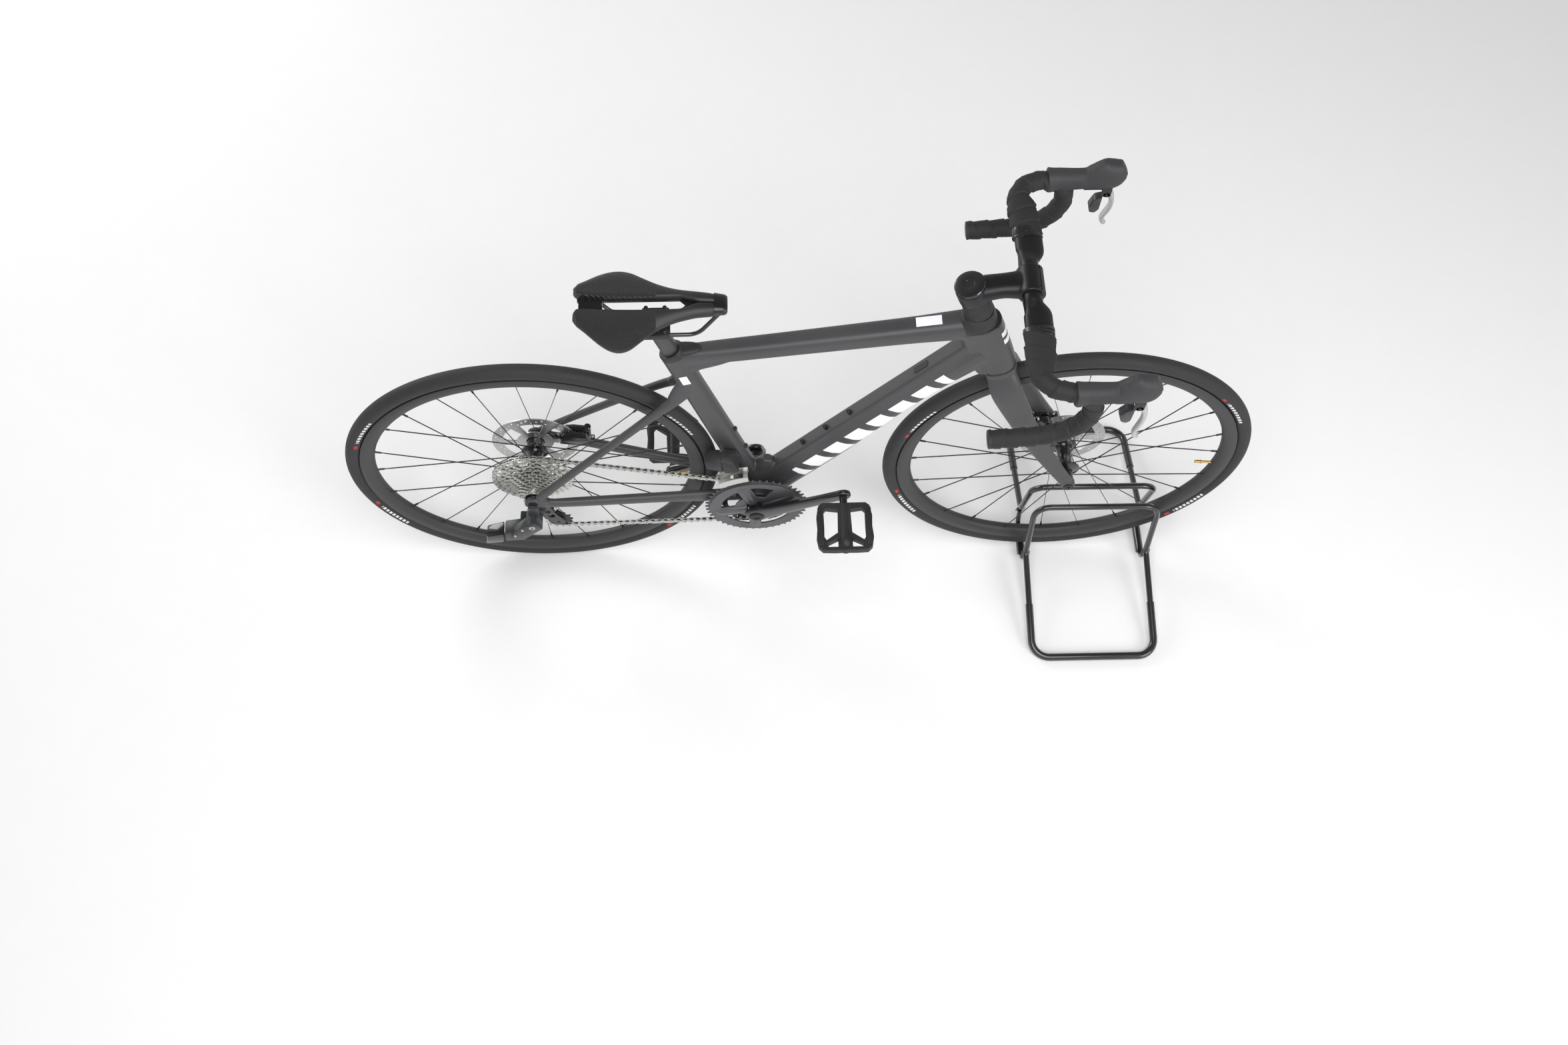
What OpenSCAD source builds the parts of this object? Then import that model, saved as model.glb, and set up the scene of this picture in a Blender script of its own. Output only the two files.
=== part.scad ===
// Drop-bar disc-brake road bicycle, front wheel held in a tubular floor stand.
// Rear axle and front axle lie on X, the bicycle stands in the XZ plane, +Z is up.
// Inside bike() the origin is the rear axle; the origin of the part is on the floor,
// under the middle of the wheelbase.

/* [Wheels] */
// Distance between the wheel axles
wheelbase = 983; // [970:1:1000]
// Outer radius of the tyres
tyre_r = 339; // [337:1:341]
// Width of the tyres
tyre_w = 28; // [25:1:30]
// Depth of the rims
rim_depth = 26; // [22:1:30]
// Width of the rims
rim_w = 25; // [23:1:27]
// Spokes in each wheel
spoke_count = 24; // [20, 24, 28]
// Radius of the brake rotors
rotor_r = 80; // [70:10:80]

/* [Frame] */
// Length of the chainstays, bottom bracket to rear axle
chainstay = 415; // [410:1:425]
// Drop of the bottom bracket below the axles
bb_drop = 74.5; // [70:0.5:78]
// Angle of the head tube from the floor
head_angle = 71.5; // [70:0.5:73.5]
// Offset of the front axle from the steering axis
fork_rake = 53.5; // [45:0.5:55]
// Angle of the seat tube from the floor
seat_angle = 73; // [72:0.5:74.5]
// Length of the seat tube, bottom bracket to collar
seat_tube = 467; // [440:1:490]

/* [Controls] */
// Distance between the middles of the two brake hoods
hood_spacing = 408; // [380:2:430]
// Length of the stem
stem_length = 90; // [80:5:110]
// Length of the crank arms
crank_length = 172.5; // [165:2.5:175]
// Angle of the right crank above the horizontal, pointing forward
crank_angle = 23; // [0:1:60]
// Teeth of the outer chainring
outer_teeth = 46; // [44:1:48]
// Teeth of the inner chainring
inner_teeth = 33; // [31:1:36]
// Teeth of the largest sprocket
big_sprocket = 36; // [32:1:36]

/* [Stand] */
// Distance from the middle of the stand to the far bar of each foot
stand_reach = 260; // [230:1:280]
// Height of the bars of the two hoops
hoop_height = 192; // [185:1:196]
// Distance between the bars of the two hoops
hoop_gap = 45; // [44:0.5:48]
// Distance between the front and rear legs
stand_depth = 244; // [235:1:255]
// Distance from the front axle back to the rear cross tube
stand_setback = 29; // [20:1:40]

/* [Hidden] */
$fn = 48;

// Placing the bicycle: the front tyre rests on the rear cross tube of the stand
sleeve_r = 8;
rest_gap = 0.3;
axle_lift = sleeve_r + sqrt(pow(tyre_r + sleeve_r + rest_gap, 2) - pow(stand_setback, 2)) - tyre_r;
pitch = asin(axle_lift / wheelbase);
front_x = wheelbase * cos(pitch) / 2;
stand_x = front_x - stand_setback;

// Bottom bracket, steering axis and cockpit, seen from the rear axle
bb = [sqrt(chainstay * chainstay - bb_drop * bb_drop), 0, -bb_drop];
steer_u = [-cos(head_angle), 0, sin(head_angle)];
steer_n = [sin(head_angle), 0, cos(head_angle)];
steer_o = [wheelbase, 0, 0] - fork_rake * steer_n;
function steer(d, f = 0, y = 0) = steer_o + d * steer_u + f * steer_n + [0, y, 0];
seat_u = [-cos(seat_angle), 0, sin(seat_angle)];
function along_seat(d) = bb + d * seat_u;
crown_d = 364;
head_top_d = 492;
cover_top_d = 523;
spacer_top_d = 562;
stem_top_d = 594;
bar_d = 566;
bar_c = steer(bar_d, stem_length);
hood_y = hood_spacing / 2;

// Drivetrain
chain_pitch = 12.7;
function pitch_r(teeth) = chain_pitch / 2 / sin(180 / teeth);
outer_y = -49;
inner_y = -41.5;
cog_y = -22;
cog_step = 3.7;
cog_teeth = [36, 32, 28, 24, 21, 19, 17, 15, 13, 12, 11, 10];
pulley_teeth = 12;
guide_c = [5, cog_y, -106];
tension_c = [28, cog_y, -163];

// Hubs and axles
axle_r = 6;
axle_fit = 0.05;
front_half = 50;
rear_half = 71;

// ---------- helpers ----------
ball_proud = 0.6;
module bike() {
    translate([-front_x, 0, tyre_r])
        rotate([0, -pitch, 0])
            children();
}

module at_front() { translate([wheelbase, 0, 0]) children(); }

// Cylinder from a to b, radius ra at a and rb at b
module rod(a, b, ra, rb = undef) {
    v = b - a;
    h = norm(v);
    translate(a)
        rotate([0, acos(v[2] / h), atan2(v[1], v[0])])
            cylinder(h = h, r1 = ra, r2 = is_undef(rb) ? ra : rb);
}

// Cylinder along Y, centred at c
module cross_rod(c, r, w) {
    translate(c)
        rotate([90, 0, 0])
            cylinder(h = w, r = r, center = true);
}

// Tapered tubes end to end through points, with a ball at every inner joint
module limb(points, radii) {
    n = len(points);
    for (i = [0 : n - 2])
        rod(points[i], points[i + 1], radii[i], radii[i + 1]);
    for (i = [1 : n - 2])
        translate(points[i])
            sphere(radii[i] + ball_proud);
}

// Rounded bar of section w (along Y) by t, from a to b in the XZ plane
module beam(a, b, t, w, corner = 10) {
    v = b - a;
    translate(a)
        rotate([0, atan2(v[0], v[2]), 0])
            linear_extrude(norm(v))
                rounded(t, w, corner);
}

module rounded(t, w, corner) {
    square([t - 2 * corner, w], center = true);
    square([t, w - 2 * corner], center = true);
    for (sx = [-1, 1], sy = [-1, 1])
        translate([sx * (t / 2 - corner), sy * (w / 2 - corner)])
            circle(corner);
}

// Tube swept through points, one radius for each point, closed at both ends
function unit(v) = v / norm(v);
function tangent(p, i) =
    unit(p[min(i + 1, len(p) - 1)] - p[max(i - 1, 0)]);
function side_of(t) = abs(t[1]) > 0.9 ? unit(cross(t, [1, 0, 0])) : unit(cross(t, [0, 1, 0]));
function ring_at(p, r, t, s, sides) =
    [for (k = [0 : sides - 1]) p + r * (cos(360 * k / sides) * s + sin(360 * k / sides) * cross(t, s))];
function carried(p, i) = i == 0 ? side_of(tangent(p, 0)) :
    let (t = tangent(p, i), s = carried(p, i - 1)) unit(s - (s * t) * t);
module sweep(p, r, sides = 12) {
    n = len(p);
    radii = is_list(r) ? r : [for (i = p) r];
    pts = [for (i = [0 : n - 1]) each ring_at(p[i], radii[i], tangent(p, i), carried(p, i), sides)];
    walls = [for (i = [0 : n - 2], k = [0 : sides - 1])
        let (a = i * sides + k, b = i * sides + (k + 1) % sides)
            [a, a + sides, b + sides, b]];
    ends = [[for (k = [0 : sides - 1]) k], [for (k = [sides - 1 : -1 : 0]) (n - 1) * sides + k]];
    polyhedron(pts, concat(walls, ends));
}

// Hollow tube swept through points, outer radius r and inner radius bore
module sleeve(points, r, bore, sides = 14) {
    n = len(points);
    m = 2 * sides;
    pts = [for (i = [0 : n - 1]) each concat(
        ring_at(points[i], r, tangent(points, i), carried(points, i), sides),
        ring_at(points[i], bore, tangent(points, i), carried(points, i), sides))];
    outer = [for (i = [0 : n - 2], k = [0 : sides - 1])
        let (a = i * m + k, b = i * m + (k + 1) % sides) [a, a + m, b + m, b]];
    inner = [for (i = [0 : n - 2], k = [0 : sides - 1])
        let (a = i * m + sides + k, b = i * m + sides + (k + 1) % sides) [b, b + m, a + m, a]];
    ends = [for (i = [0, n - 1], k = [0 : sides - 1])
        let (a = i * m + k, b = i * m + (k + 1) % sides)
            i == 0 ? [b, b + sides, a + sides, a] : [a, a + sides, b + sides, b]];
    polyhedron(pts, concat(outer, inner, ends));
}

// Points round a bend at corner b between a and c, with bend radius r
function bend(a, b, c, r, steps = 5) =
    let (u = unit(a - b), v = unit(c - b), half = acos(u * v) / 2, d = r / tan(half),
        o = b + unit(u + v) * r / sin(half), p0 = b + u * d, p1 = b + v * d, total = 180 - 2 * half,
        e0 = (p0 - o) / r, e1 = unit((p1 - o) / r - ((p1 - o) / r * e0) * e0))
        [for (k = [0 : steps]) let (g = total * k / steps) o + r * (cos(g) * e0 + sin(g) * e1)];

// Toothed disc in the XZ plane at height y, centred on the axis through c
module toothed(c, teeth, w) {
    r = pitch_r(teeth);
    step = 360 / teeth;
    translate(c)
        rotate([90, 0, 0])
            linear_extrude(w, center = true)
                polygon([for (i = [0 : teeth - 1], k = [0 : 3])
                    let (g = i * step + [-0.32, -0.12, 0.12, 0.32][k] * step,
                        q = r + [-3.2, 3.4, 3.4, -3.2][k])
                        [q * cos(g), q * sin(g)]]);
}

// ---------- stand ----------
foot_r = 7.5;
leg_r = 6;
joint_y = 50;
joint_z = 54;
bar_y = hoop_gap / 2;
sleeve_half = 30;
stub_fit = 0.05;
function leg_x(k) = stand_x + k * stand_depth;
function foot_point(s, x, f) =
    [x, s * (joint_y + f * (stand_reach - joint_y)), joint_z + f * (foot_r - joint_z)];

module hoop(s) {
    a0 = foot_point(s, leg_x(0), 0.5);
    a1 = [leg_x(0), s * joint_y, joint_z];
    a2 = [leg_x(0), s * bar_y, hoop_height];
    b2 = [leg_x(1), s * bar_y, hoop_height];
    b1 = [leg_x(1), s * joint_y, joint_z];
    b0 = foot_point(s, leg_x(1), 0.5);
    sweep(concat([a0], bend(a0, a1, a2, 14, 3), bend(a1, a2, b2, 30), bend(a2, b2, b1, 30),
        bend(b2, b1, b0, 14, 3), [b0]), leg_r);
}

module foot(s) {
    start = 0.5;
    a0 = foot_point(s, leg_x(0), start);
    a1 = foot_point(s, leg_x(0), 1);
    b1 = foot_point(s, leg_x(1), 1);
    b0 = foot_point(s, leg_x(1), start);
    sweep(concat([a0], bend(a0, a1, b1, 34), bend(a1, b1, b0, 34), [b0]), foot_r);
}

module stubs(s) {
    for (k = [0, 1]) {
        x = leg_x(k);
        rod([x, s * 8, sleeve_r], [x, s * 40, sleeve_r], leg_r - 1);
        rod([x, s * 38, sleeve_r + 1], [x, s * (joint_y + 2), joint_z - 14], leg_r - 1);
        rod([x - 9, s * (joint_y + 3), joint_z - 10], [x + 9, s * (joint_y + 3), joint_z - 10], 3);
    }
}

module stand_hoop_left() { color("#1c1c1f") hoop(1); }
module stand_hoop_right() { color("#1c1c1f") hoop(-1); }
module stand_foot_left() { color("#202023") foot(1); }
module stand_foot_right() { color("#202023") foot(-1); }
module stand_stubs_left() { color("#19191b") stubs(1); }
module stand_stubs_right() { color("#19191b") stubs(-1); }
module stand_sleeves() {
    color("#242427")
        for (k = [0, 1])
            difference() {
                cross_rod([leg_x(k), 0, sleeve_r], sleeve_r, 2 * sleeve_half);
                cross_rod([leg_x(k), 0, sleeve_r], leg_r - 1 + stub_fit, 2 * sleeve_half + 2);
            }
}

// ---------- wheels ----------
rim_r = 312.6;
rim_in = rim_r - rim_depth;
module spin() { rotate([90, 0, 0]) rotate_extrude($fn = 120) children(); }

module tyre() {
    spin()
        difference() {
            translate([tyre_r - tyre_w / 2, 0]) circle(tyre_w / 2);
            translate([tyre_r - 2 * tyre_w, -tyre_w]) square([rim_r - tyre_r + 2 * tyre_w + 0.1, 2 * tyre_w]);
            translate([tyre_r - tyre_w / 2, 0]) circle(tyre_w / 2 - 2.5);
        }
}

module rim() {
    h = rim_w / 2;
    wall = 2;
    spin()
        polygon([[rim_in, -4], [rim_in + 5, -h + 2.5], [rim_in + 12, -h], [rim_r, -h],
            [rim_r, -h + wall], [rim_in + 13, -h + wall], [rim_in + 7, -h + 4.5], [rim_in + 2.5, -3],
            [rim_in + 2.5, 3], [rim_in + 7, h - 4.5], [rim_in + 13, h - wall], [rim_r, h - wall],
            [rim_r, h], [rim_in + 12, h], [rim_in + 5, h - 2.5], [rim_in, 4]]);
    rotate([0, 97, 0])
        translate([0, 0, rim_in - 34])
            cylinder(h = 34.5, r = 3);
}

function spoke_y(i, left, right) = i % 2 == 0 ? left : right;
module spokes(left, right, flange) {
    step = 360 / spoke_count;
    for (i = [0 : spoke_count - 1]) {
        way = floor(i / 2) % 2 == 0 ? 1 : -1;
        a = i * step + way * 52;
        rod([flange * cos(a), spoke_y(i, left, right) + way * 1.6, flange * sin(a)],
            [(rim_in + 1) * cos(i * step), spoke_y(i, 3, -3), (rim_in + 1) * sin(i * step)], 0.9);
    }
}

// Hub shell with two spoke flanges and a through bore
module hub(left, right, flange, end) {
    difference() {
        spin_hub([[0, end], [11, end], [11, left + 4], [14, left + 3], [flange + 4, left + 2],
            [flange + 4, left - 2], [16, left - 5], [12, left - 14], [12, right + 14],
            [16, right + 5], [flange + 4, right + 2], [flange + 4, right - 2],
            [14, right - 3], [11, right - 4], [11, -end], [0, -end]]);
        cross_rod([0, 0, 0], axle_r + axle_fit, 2 * end + 4);
    }
}
module spin_hub(p) { rotate([90, 0, 0]) rotate_extrude() polygon([for (q = p) [q[0], -q[1]]]); }

module rotor(y) {
    translate([0, y, 0])
        rotate([90, 0, 0])
            linear_extrude(1.8, center = true) {
                difference() {
                    circle(rotor_r, $fn = 96);
                    circle(rotor_r - 15, $fn = 96);
                }
                difference() {
                    circle(27);
                    circle(17);
                }
                for (a = [0 : 60 : 300])
                    rotate(a)
                        translate([25, -4])
                            square([rotor_r - 38, 8]);
            }
}

front_left = 22;
front_right = -27;
rear_left = 34;
rear_right = -16;
flange_r = 21;
front_rotor_y = 39.5;
rear_rotor_y = 56;

module front_tyre() { color("#232325") bike() at_front() tyre(); }
module front_rim() { color("#2b2b2d") bike() at_front() rim(); }
module front_hub() { color("#18181a") bike() at_front() hub(front_left, front_right, flange_r, front_half - 0.3); }
module front_spokes() { color("#111112") bike() at_front() spokes(front_left, front_right, flange_r); }
module front_rotor() { color("#b9b9bb") bike() at_front() rotor(front_rotor_y); }
module rear_tyre() { color("#232325") bike() tyre(); }
module rear_rim() { color("#2b2b2d") bike() rim(); }
module rear_hub() {
    color("#18181a")
        bike()
            difference() {
                union() {
                    hub(rear_left, rear_right, flange_r, rear_half - 0.3);
                    cross_rod([0, (rear_rotor_y + 4 + rear_left) / 2, 0], 15, rear_rotor_y + 4 - rear_left);
                }
                cross_rod([0, 0, 0], axle_r + axle_fit, 2 * rear_half + 4);
            }
}
module rear_spokes() { color("#111112") bike() spokes(rear_left, rear_right, flange_r); }
module rear_rotor() { color("#b9b9bb") bike() rotor(rear_rotor_y); }

// ---------- drivetrain ----------
cassette_bore = 14.5;
module cassette() {
    color("#a9a9a6")
        bike()
            difference() {
                union() {
                    for (i = [0 : len(cog_teeth) - 1])
                        toothed([0, cog_y - i * cog_step, 0], cog_teeth[i], 1.6);
                    cross_rod([0, (cog_y - 11 * cog_step) / 2 + cog_y / 2, 0], 17.2, 11 * cog_step + 2);
                }
                cross_rod([0, -45, 0], cassette_bore, 80);
            }
}

arm_u = [cos(crank_angle), 0, sin(crank_angle)];
pedal_r_c = bb + crank_length * arm_u;
pedal_l_c = bb - crank_length * arm_u;
spindle_r = 14.4;
arm_in = 62;
arm_out = 75;
pedal_in = 87;
pedal_out = 185;
pedal_length = 104;

module crank_arm(c, s) {
    h = arm_out - arm_in;
    y = s * (arm_in + arm_out) / 2;
    difference() {
        union() {
            cross_rod(bb + [0, y, 0], 21, h);
            cross_rod(c + [0, y, 0], 13, h);
            beam(bb + [0, y, 0], c + [0, y, 0], 26, h, 5);
        }
        cross_rod(c + [0, y, 0], 7 + axle_fit, h + 4);
        cross_rod(bb + [0, y, 0], spindle_r, h + 4);
    }
}

module crank_arm_right() { color("#1b1b1d") bike() crank_arm(pedal_r_c, -1); }
module crank_arm_left() { color("#1b1b1d") bike() crank_arm(pedal_l_c, 1); }
module crank_spindle() { color("#2c2c2f") bike() cross_rod(bb, spindle_r, 2 * arm_out); }
module chainrings() {
    color("#58585b")
        bike() {
            difference() {
                toothed(bb + [0, outer_y, 0], outer_teeth, 3.4);
                cross_rod(bb + [0, outer_y, 0], 48, 6);
            }
            difference() {
                toothed(bb + [0, inner_y, 0], inner_teeth, 1.6);
                cross_rod(bb + [0, inner_y, 0], 46, 6);
            }
            difference() {
                union() {
                    cross_rod(bb + [0, -55, 0], 24, 13.9);
                    for (a = [0 : 72 : 288])
                        translate(bb)
                            rotate([0, a + 20, 0])
                                translate([34, -52.6, 0])
                                    cube([44, 3.7, 14], center = true);
                }
                cross_rod(bb + [0, -55, 0], spindle_r, 20);
            }
            for (a = [0 : 72 : 288])
                translate(bb)
                    rotate([0, a + 20, 0])
                        cross_rod([52, -46.3, 0], 4, 8.8);
        }
}
module pedal_axles() {
    color("#3a3a3d")
        bike()
            for (s = [-1, 1]) {
                c = s < 0 ? pedal_r_c : pedal_l_c;
                cross_rod(c + [0, s * (arm_in + pedal_out - 12) / 2, 0], 7, pedal_out - 12 - arm_in);
            }
}

// Platform pedal: a cage with two windows round a centre barrel
module pedal_body(c, s) {
    mid = s * (pedal_in + pedal_out) / 2;
    w = pedal_out - pedal_in;
    difference() {
        translate(c + [0, mid, 0])
            difference() {
                cube([pedal_length, w, 16], center = true);
                for (sx = [-1, 1])
                    translate([sx * 24.5, s * -4, 0])
                        cube([28, w - 32, 20], center = true);
            }
        cross_rod(c + [0, mid, 0], 7.05, w + 4);
    }
}
module pedal_body_right() { color("#242426") bike() pedal_body(pedal_r_c, -1); }
module pedal_body_left() { color("#242426") bike() pedal_body(pedal_l_c, 1); }

bb_shell_r = 23;
bb_half = 43;
module bottom_bracket() {
    color("#303033")
        bike()
            for (s = [-1, 1])
                difference() {
                    cross_rod(bb + [0, s * (bb_half - 4), 0], bb_shell_r - 0.02, 12);
                    cross_rod(bb + [0, s * (bb_half - 4), 0], spindle_r + axle_fit, 20);
                }
}

module pulley(c) {
    difference() {
        toothed(c, pulley_teeth, 2.2);
        cross_rod(c, 3.55, 6);
    }
}
module guide_pulley() { color("#2f2f31") bike() pulley(guide_c); }
module tension_pulley() { color("#2f2f31") bike() pulley(tension_c); }
module pulley_cage() {
    color("#3b3b3e")
        bike()
            for (s = [-1, 1]) {
                for (c = [guide_c, tension_c]) {
                    cross_rod(c + [0, s * 6, 0], 13, 2);
                    cross_rod(c + [0, s * 3, 0], 3.5, 7.9);
                }
                beam(guide_c + [0, s * 6, 0], tension_c + [0, s * 6, 0], 18, 1.9, 0.9);
            }
}
module rear_derailleur() {
    color("#2a2a2d")
        bike() {
            beam([-2, -78, -15.1], [-2, -78, -46], 18, 8, 3);
            rod([-6, -68, -44], [-6, -102, -44], 10);
            beam([-4, -92, -40], [-34, -92, -84], 34, 24, 6);
            beam([-34, -78, -88], [-96, -78, -118], 30, 30, 6);
            beam([-30, -60, -88], [2, -60, -108], 26, 32, 6);
            beam([guide_c[0], -38, guide_c[2]], [guide_c[0] - 8, -38, guide_c[2] + 16], 20, 16, 5);
        }
}
module front_derailleur() {
    color("#2d2d30")
        bike() {
            beam([336, -40, 88], [352, -40, 44], 40, 28, 8);
            beam([300, -38, 78], [334, -38, 62], 30, 30, 8);
            beam([352, -23.6, 76], [366, -23.6, 62], 16, 13, 3);
            beam([318, -49.5, 2], [404, -49.5, 40], 16, 1.5, 0.7);
            beam([318, -31.5, 0], [404, -31.5, 40], 20, 1.5, 0.7);
            beam([362, -40.5, 39], [392, -40.5, 52], 6, 19.4, 1);
        }
}

// Chain: the two rows of side plates, along the runs and round the wheels
function arc_pts(c, r, a0, a1, n, y0, y1) =
    [for (k = [0 : n]) let (a = a0 + (a1 - a0) * k / n)
        [c[0] + r * cos(a), y0 + (y1 - y0) * k / n, c[2] + r * sin(a)]];
chain_line = concat(
    arc_pts([0, 0, 0], pitch_r(big_sprocket), 262, 80, 16, cog_y, cog_y),
    arc_pts(bb, pitch_r(inner_teeth), 80, -98, 16, inner_y, inner_y),
    arc_pts(tension_c, pitch_r(pulley_teeth), 277, 150, 6, cog_y, cog_y),
    arc_pts(guide_c, pitch_r(pulley_teeth), -30, 88, 6, cog_y, cog_y));
chain_side = 2.85;
module chain_row(dy) {
    n = len(chain_line);
    p = chain_line;
    h = 4;
    w = 0.45;
    up = [for (i = [0 : n - 1])
        let (t = unit(p[(i + 1) % n] - p[(i + n - 1) % n])) unit(cross(t, [0, 1, 0]))];
    pts = [for (i = [0 : n - 1])
        each [for (k = [[-h, -w], [h, -w], [h, w], [-h, w]]) p[i] + k[0] * up[i] + [0, dy + k[1], 0]]];
    polyhedron(pts, [for (i = [0 : n - 1], k = [0 : 3])
        let (j = (i + 1) % n, m = (k + 1) % 4) [4 * i + k, 4 * j + k, 4 * j + m, 4 * i + m]]);
}
module chain() {
    color("#8f8b84")
        bike() {
            chain_row(-chain_side);
            chain_row(chain_side);
        }
}

// ---------- frame ----------
down_start = bb + [18, 0, 2];
down_top = [775, 0, 366];
down_face = 37;
top_rear = along_seat(seat_tube - 24) + [0, 0, 14];
top_front = [766, 0, 442];
post_r = 13.6;
post_fit = 0.05;
steerer_r = 14.3;
head_bore_r = 22;
// Down tube: flat narrow top with a crease, widest low down, rounded keel
module down_tube() {
    half = [[-down_face, 12], [-33, 15], [-20, 18.5], [-5, 22], [5, 22], [18, 16], [25, 8], [28, 0]];
    v = down_top - down_start;
    translate(down_start)
        rotate([0, atan2(v[0], v[2]), 0])
            linear_extrude(norm(v))
                polygon(concat(half, [for (i = [len(half) - 2 : -1 : 0]) [half[i][0], -half[i][1]]]));
}
module frame_main() {
    color("#4b4b4d")
        bike()
            difference() {
                union() {
                    down_tube();
                    beam(top_rear, top_front, 38, 36, 12);
                    beam(bb, along_seat(seat_tube), 42, 34, 14);
                    rod(steer(crown_d + 0.5), steer(head_top_d), 31, 29);
                    cross_rod(bb, 31, 2 * bb_half);
                }
                rod(steer(crown_d - 30), steer(head_top_d + 30), head_bore_r);
                rod(along_seat(seat_tube - 200), along_seat(seat_tube + 60), post_r + post_fit);
                cross_rod(bb, bb_shell_r, 2 * bb_half + 4);
                cross_rod([0, 0, 0], tyre_r + 6, 36);
                beam(along_seat(seat_tube), along_seat(seat_tube + 60), 50.4, 37.4, 12);
                rod(steer(head_top_d), steer(head_top_d + 60), 60);
                rod(steer(crown_d + 0.5), steer(crown_d - 60), 70);
            }
}
function low_start(s) = [388, s * 24, -72];
function low_end(s) = [10, s * (rear_half + 3), -4];
function high_start(s) = [292, s * 20, 292];
function high_end(s) = [9, s * (rear_half + 2), 9];
module frame_rear() {
    color("#4b4b4d")
        bike()
            difference() {
                union() {
                    for (s = [-1, 1]) {
                        rod(low_start(s), low_end(s), 8.2, 6);
                        rod(high_start(s), high_end(s), 8, 6);
                        cross_rod([0, s * (rear_half + 4), 0], 15, 7.4);
                    }
                    cross_rod([380, 0, -66], 10, 44);
                }
                cross_rod([0, 0, 0], axle_r + axle_fit, 200);
                cross_rod([0, 0, 0], 40, 2 * rear_half);
                cross_rod(bb, 31.02, 200);
                beam(bb, along_seat(seat_tube), 42.04, 34.04, 14);
            }
}
module seat_clamp() {
    color("#1d1d1f")
        bike()
            difference() {
                beam(along_seat(seat_tube + 0.1), along_seat(seat_tube + 7), 50, 37, 12);
                rod(along_seat(seat_tube - 5), along_seat(seat_tube + 12), post_r + post_fit);
            }
}
module headset_cover() {
    color("#29292b")
        bike()
            difference() {
                rod(steer(head_top_d + 0.1), steer(cover_top_d), 29, 24);
                rod(steer(head_top_d - 5), steer(cover_top_d + 5), steerer_r + 1);
            }
}
module headset_bearings() {
    color("#77777a")
        bike()
            for (d = [crown_d + 6, head_top_d - 9])
                difference() {
                    rod(steer(d), steer(d + 7), head_bore_r - 0.02);
                    rod(steer(d - 1), steer(d + 8), steerer_r + axle_fit);
                }
}
module frame_fittings() {
    color("#151516")
        bike() {
            for (d = [157, 221, 285])
                translate(down_start + d * unit(down_top - down_start))
                    rotate([0, atan2(-(down_top - down_start)[2], (down_top - down_start)[0]), 0])
                        translate([0, 0, down_face])
                            cylinder(h = 5, r = 4.5);
            for (d = [138, 202])
                translate(along_seat(d))
                    rotate([0, 90 - (90 - seat_angle), 0])
                        translate([0, 0, 21])
                            cylinder(h = 5, r = 4.5);
        }
}
// Brake caliper astride the rim of a rotor that turns about the point axle
module caliper(c, a, axle) {
    difference() {
        translate(c)
            rotate([0, a, 0]) {
                cube([56, 30, 28], center = true);
                translate([0, 7, -17]) cube([72, 14, 10], center = true);
            }
        cross_rod(axle + [0, c[1], 0], rotor_r + 1.5, 3.4);
    }
}
module rear_caliper() {
    color("#161617")
        bike()
            difference() {
                caliper([76, rear_rotor_y, 18], 10, [0, 0, 0]);
                rod(low_start(1), low_end(1), 8.6, 6.4);
                rod(high_start(1), high_end(1), 8.4, 6.4);
                spin() square([70, 34]);
            }
}
module rear_axle() {
    color("#3c3c3f")
        bike() {
            cross_rod([0, -2, 0], axle_r, 2 * rear_half + 22);
            cross_rod([0, rear_half + 9, 0], 9, 2.4);
        }
}

// ---------- fork and cockpit ----------
blade_y = front_half + 8;
function blade_top(s) = steer(crown_d - 52, 2, s * 34);
module fork() {
    color("#4b4b4d")
        bike()
            difference() {
                union() {
                    rod(steer(crown_d - 18), steer(stem_top_d - 4), steerer_r);
                    rod(steer(crown_d - 26), steer(crown_d), 28, 30);
                    for (s = [-1, 1]) {
                        limb([steer(crown_d - 16, 0, s * 14), blade_top(s), [wheelbase - 1, s * blade_y, 4]],
                            [19, 18, 7]);
                        cross_rod([wheelbase, s * blade_y, 0], 13, 15.4);
                    }
                }
                at_front() cross_rod([0, 0, 0], axle_r + axle_fit, 300);
                at_front() cross_rod([0, 0, 0], 48, 2 * front_half);
                at_front() cross_rod([0, 0, 0], tyre_r + 5, 36);
            }
}
module front_axle() {
    color("#3c3c3f")
        bike()
            at_front() {
                cross_rod([0, 0, 0], axle_r, 2 * front_half + 30);
                cross_rod([0, front_half + 17, 0], 9, 2.4);
            }
}
module front_caliper() {
    color("#161617")
        bike()
            difference() {
                caliper([wheelbase - 58, front_rotor_y, 62], -44, [wheelbase, 0, 0]);
                rod(blade_top(1), [wheelbase - 1, blade_y, 4], 18.4, 7.4);
            }
}
module spacers() {
    color("#2d2d2f")
        bike()
            for (k = [0 : 7])
                difference() {
                    rod(steer(cover_top_d + 0.4 + k * 4.8), steer(cover_top_d + 5 + k * 4.8), 23.5);
                    rod(steer(cover_top_d - 2 + k * 4.8), steer(cover_top_d + 8 + k * 4.8), steerer_r + 0.02);
                }
}
module stem() {
    color("#2b2b2d")
        bike()
            difference() {
                union() {
                    rod(steer(spacer_top_d), steer(stem_top_d), 23);
                    beam(steer((spacer_top_d + stem_top_d) / 2), bar_c, 30, 34, 12);
                    cross_rod(bar_c, 21, 50);
                }
                rod(steer(spacer_top_d - 5), steer(stem_top_d + 5), steerer_r + 0.02);
                rod(steer(spacer_top_d - 20), steer(spacer_top_d - 0.05), 24);
                cross_rod(bar_c, 15.95, 60);
                translate(bar_c)
                    rotate([0, 90 - head_angle + 10, 0])
                        translate([29, 0, 0])
                            cube([50, 60, 60], center = true);
            }
}
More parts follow.
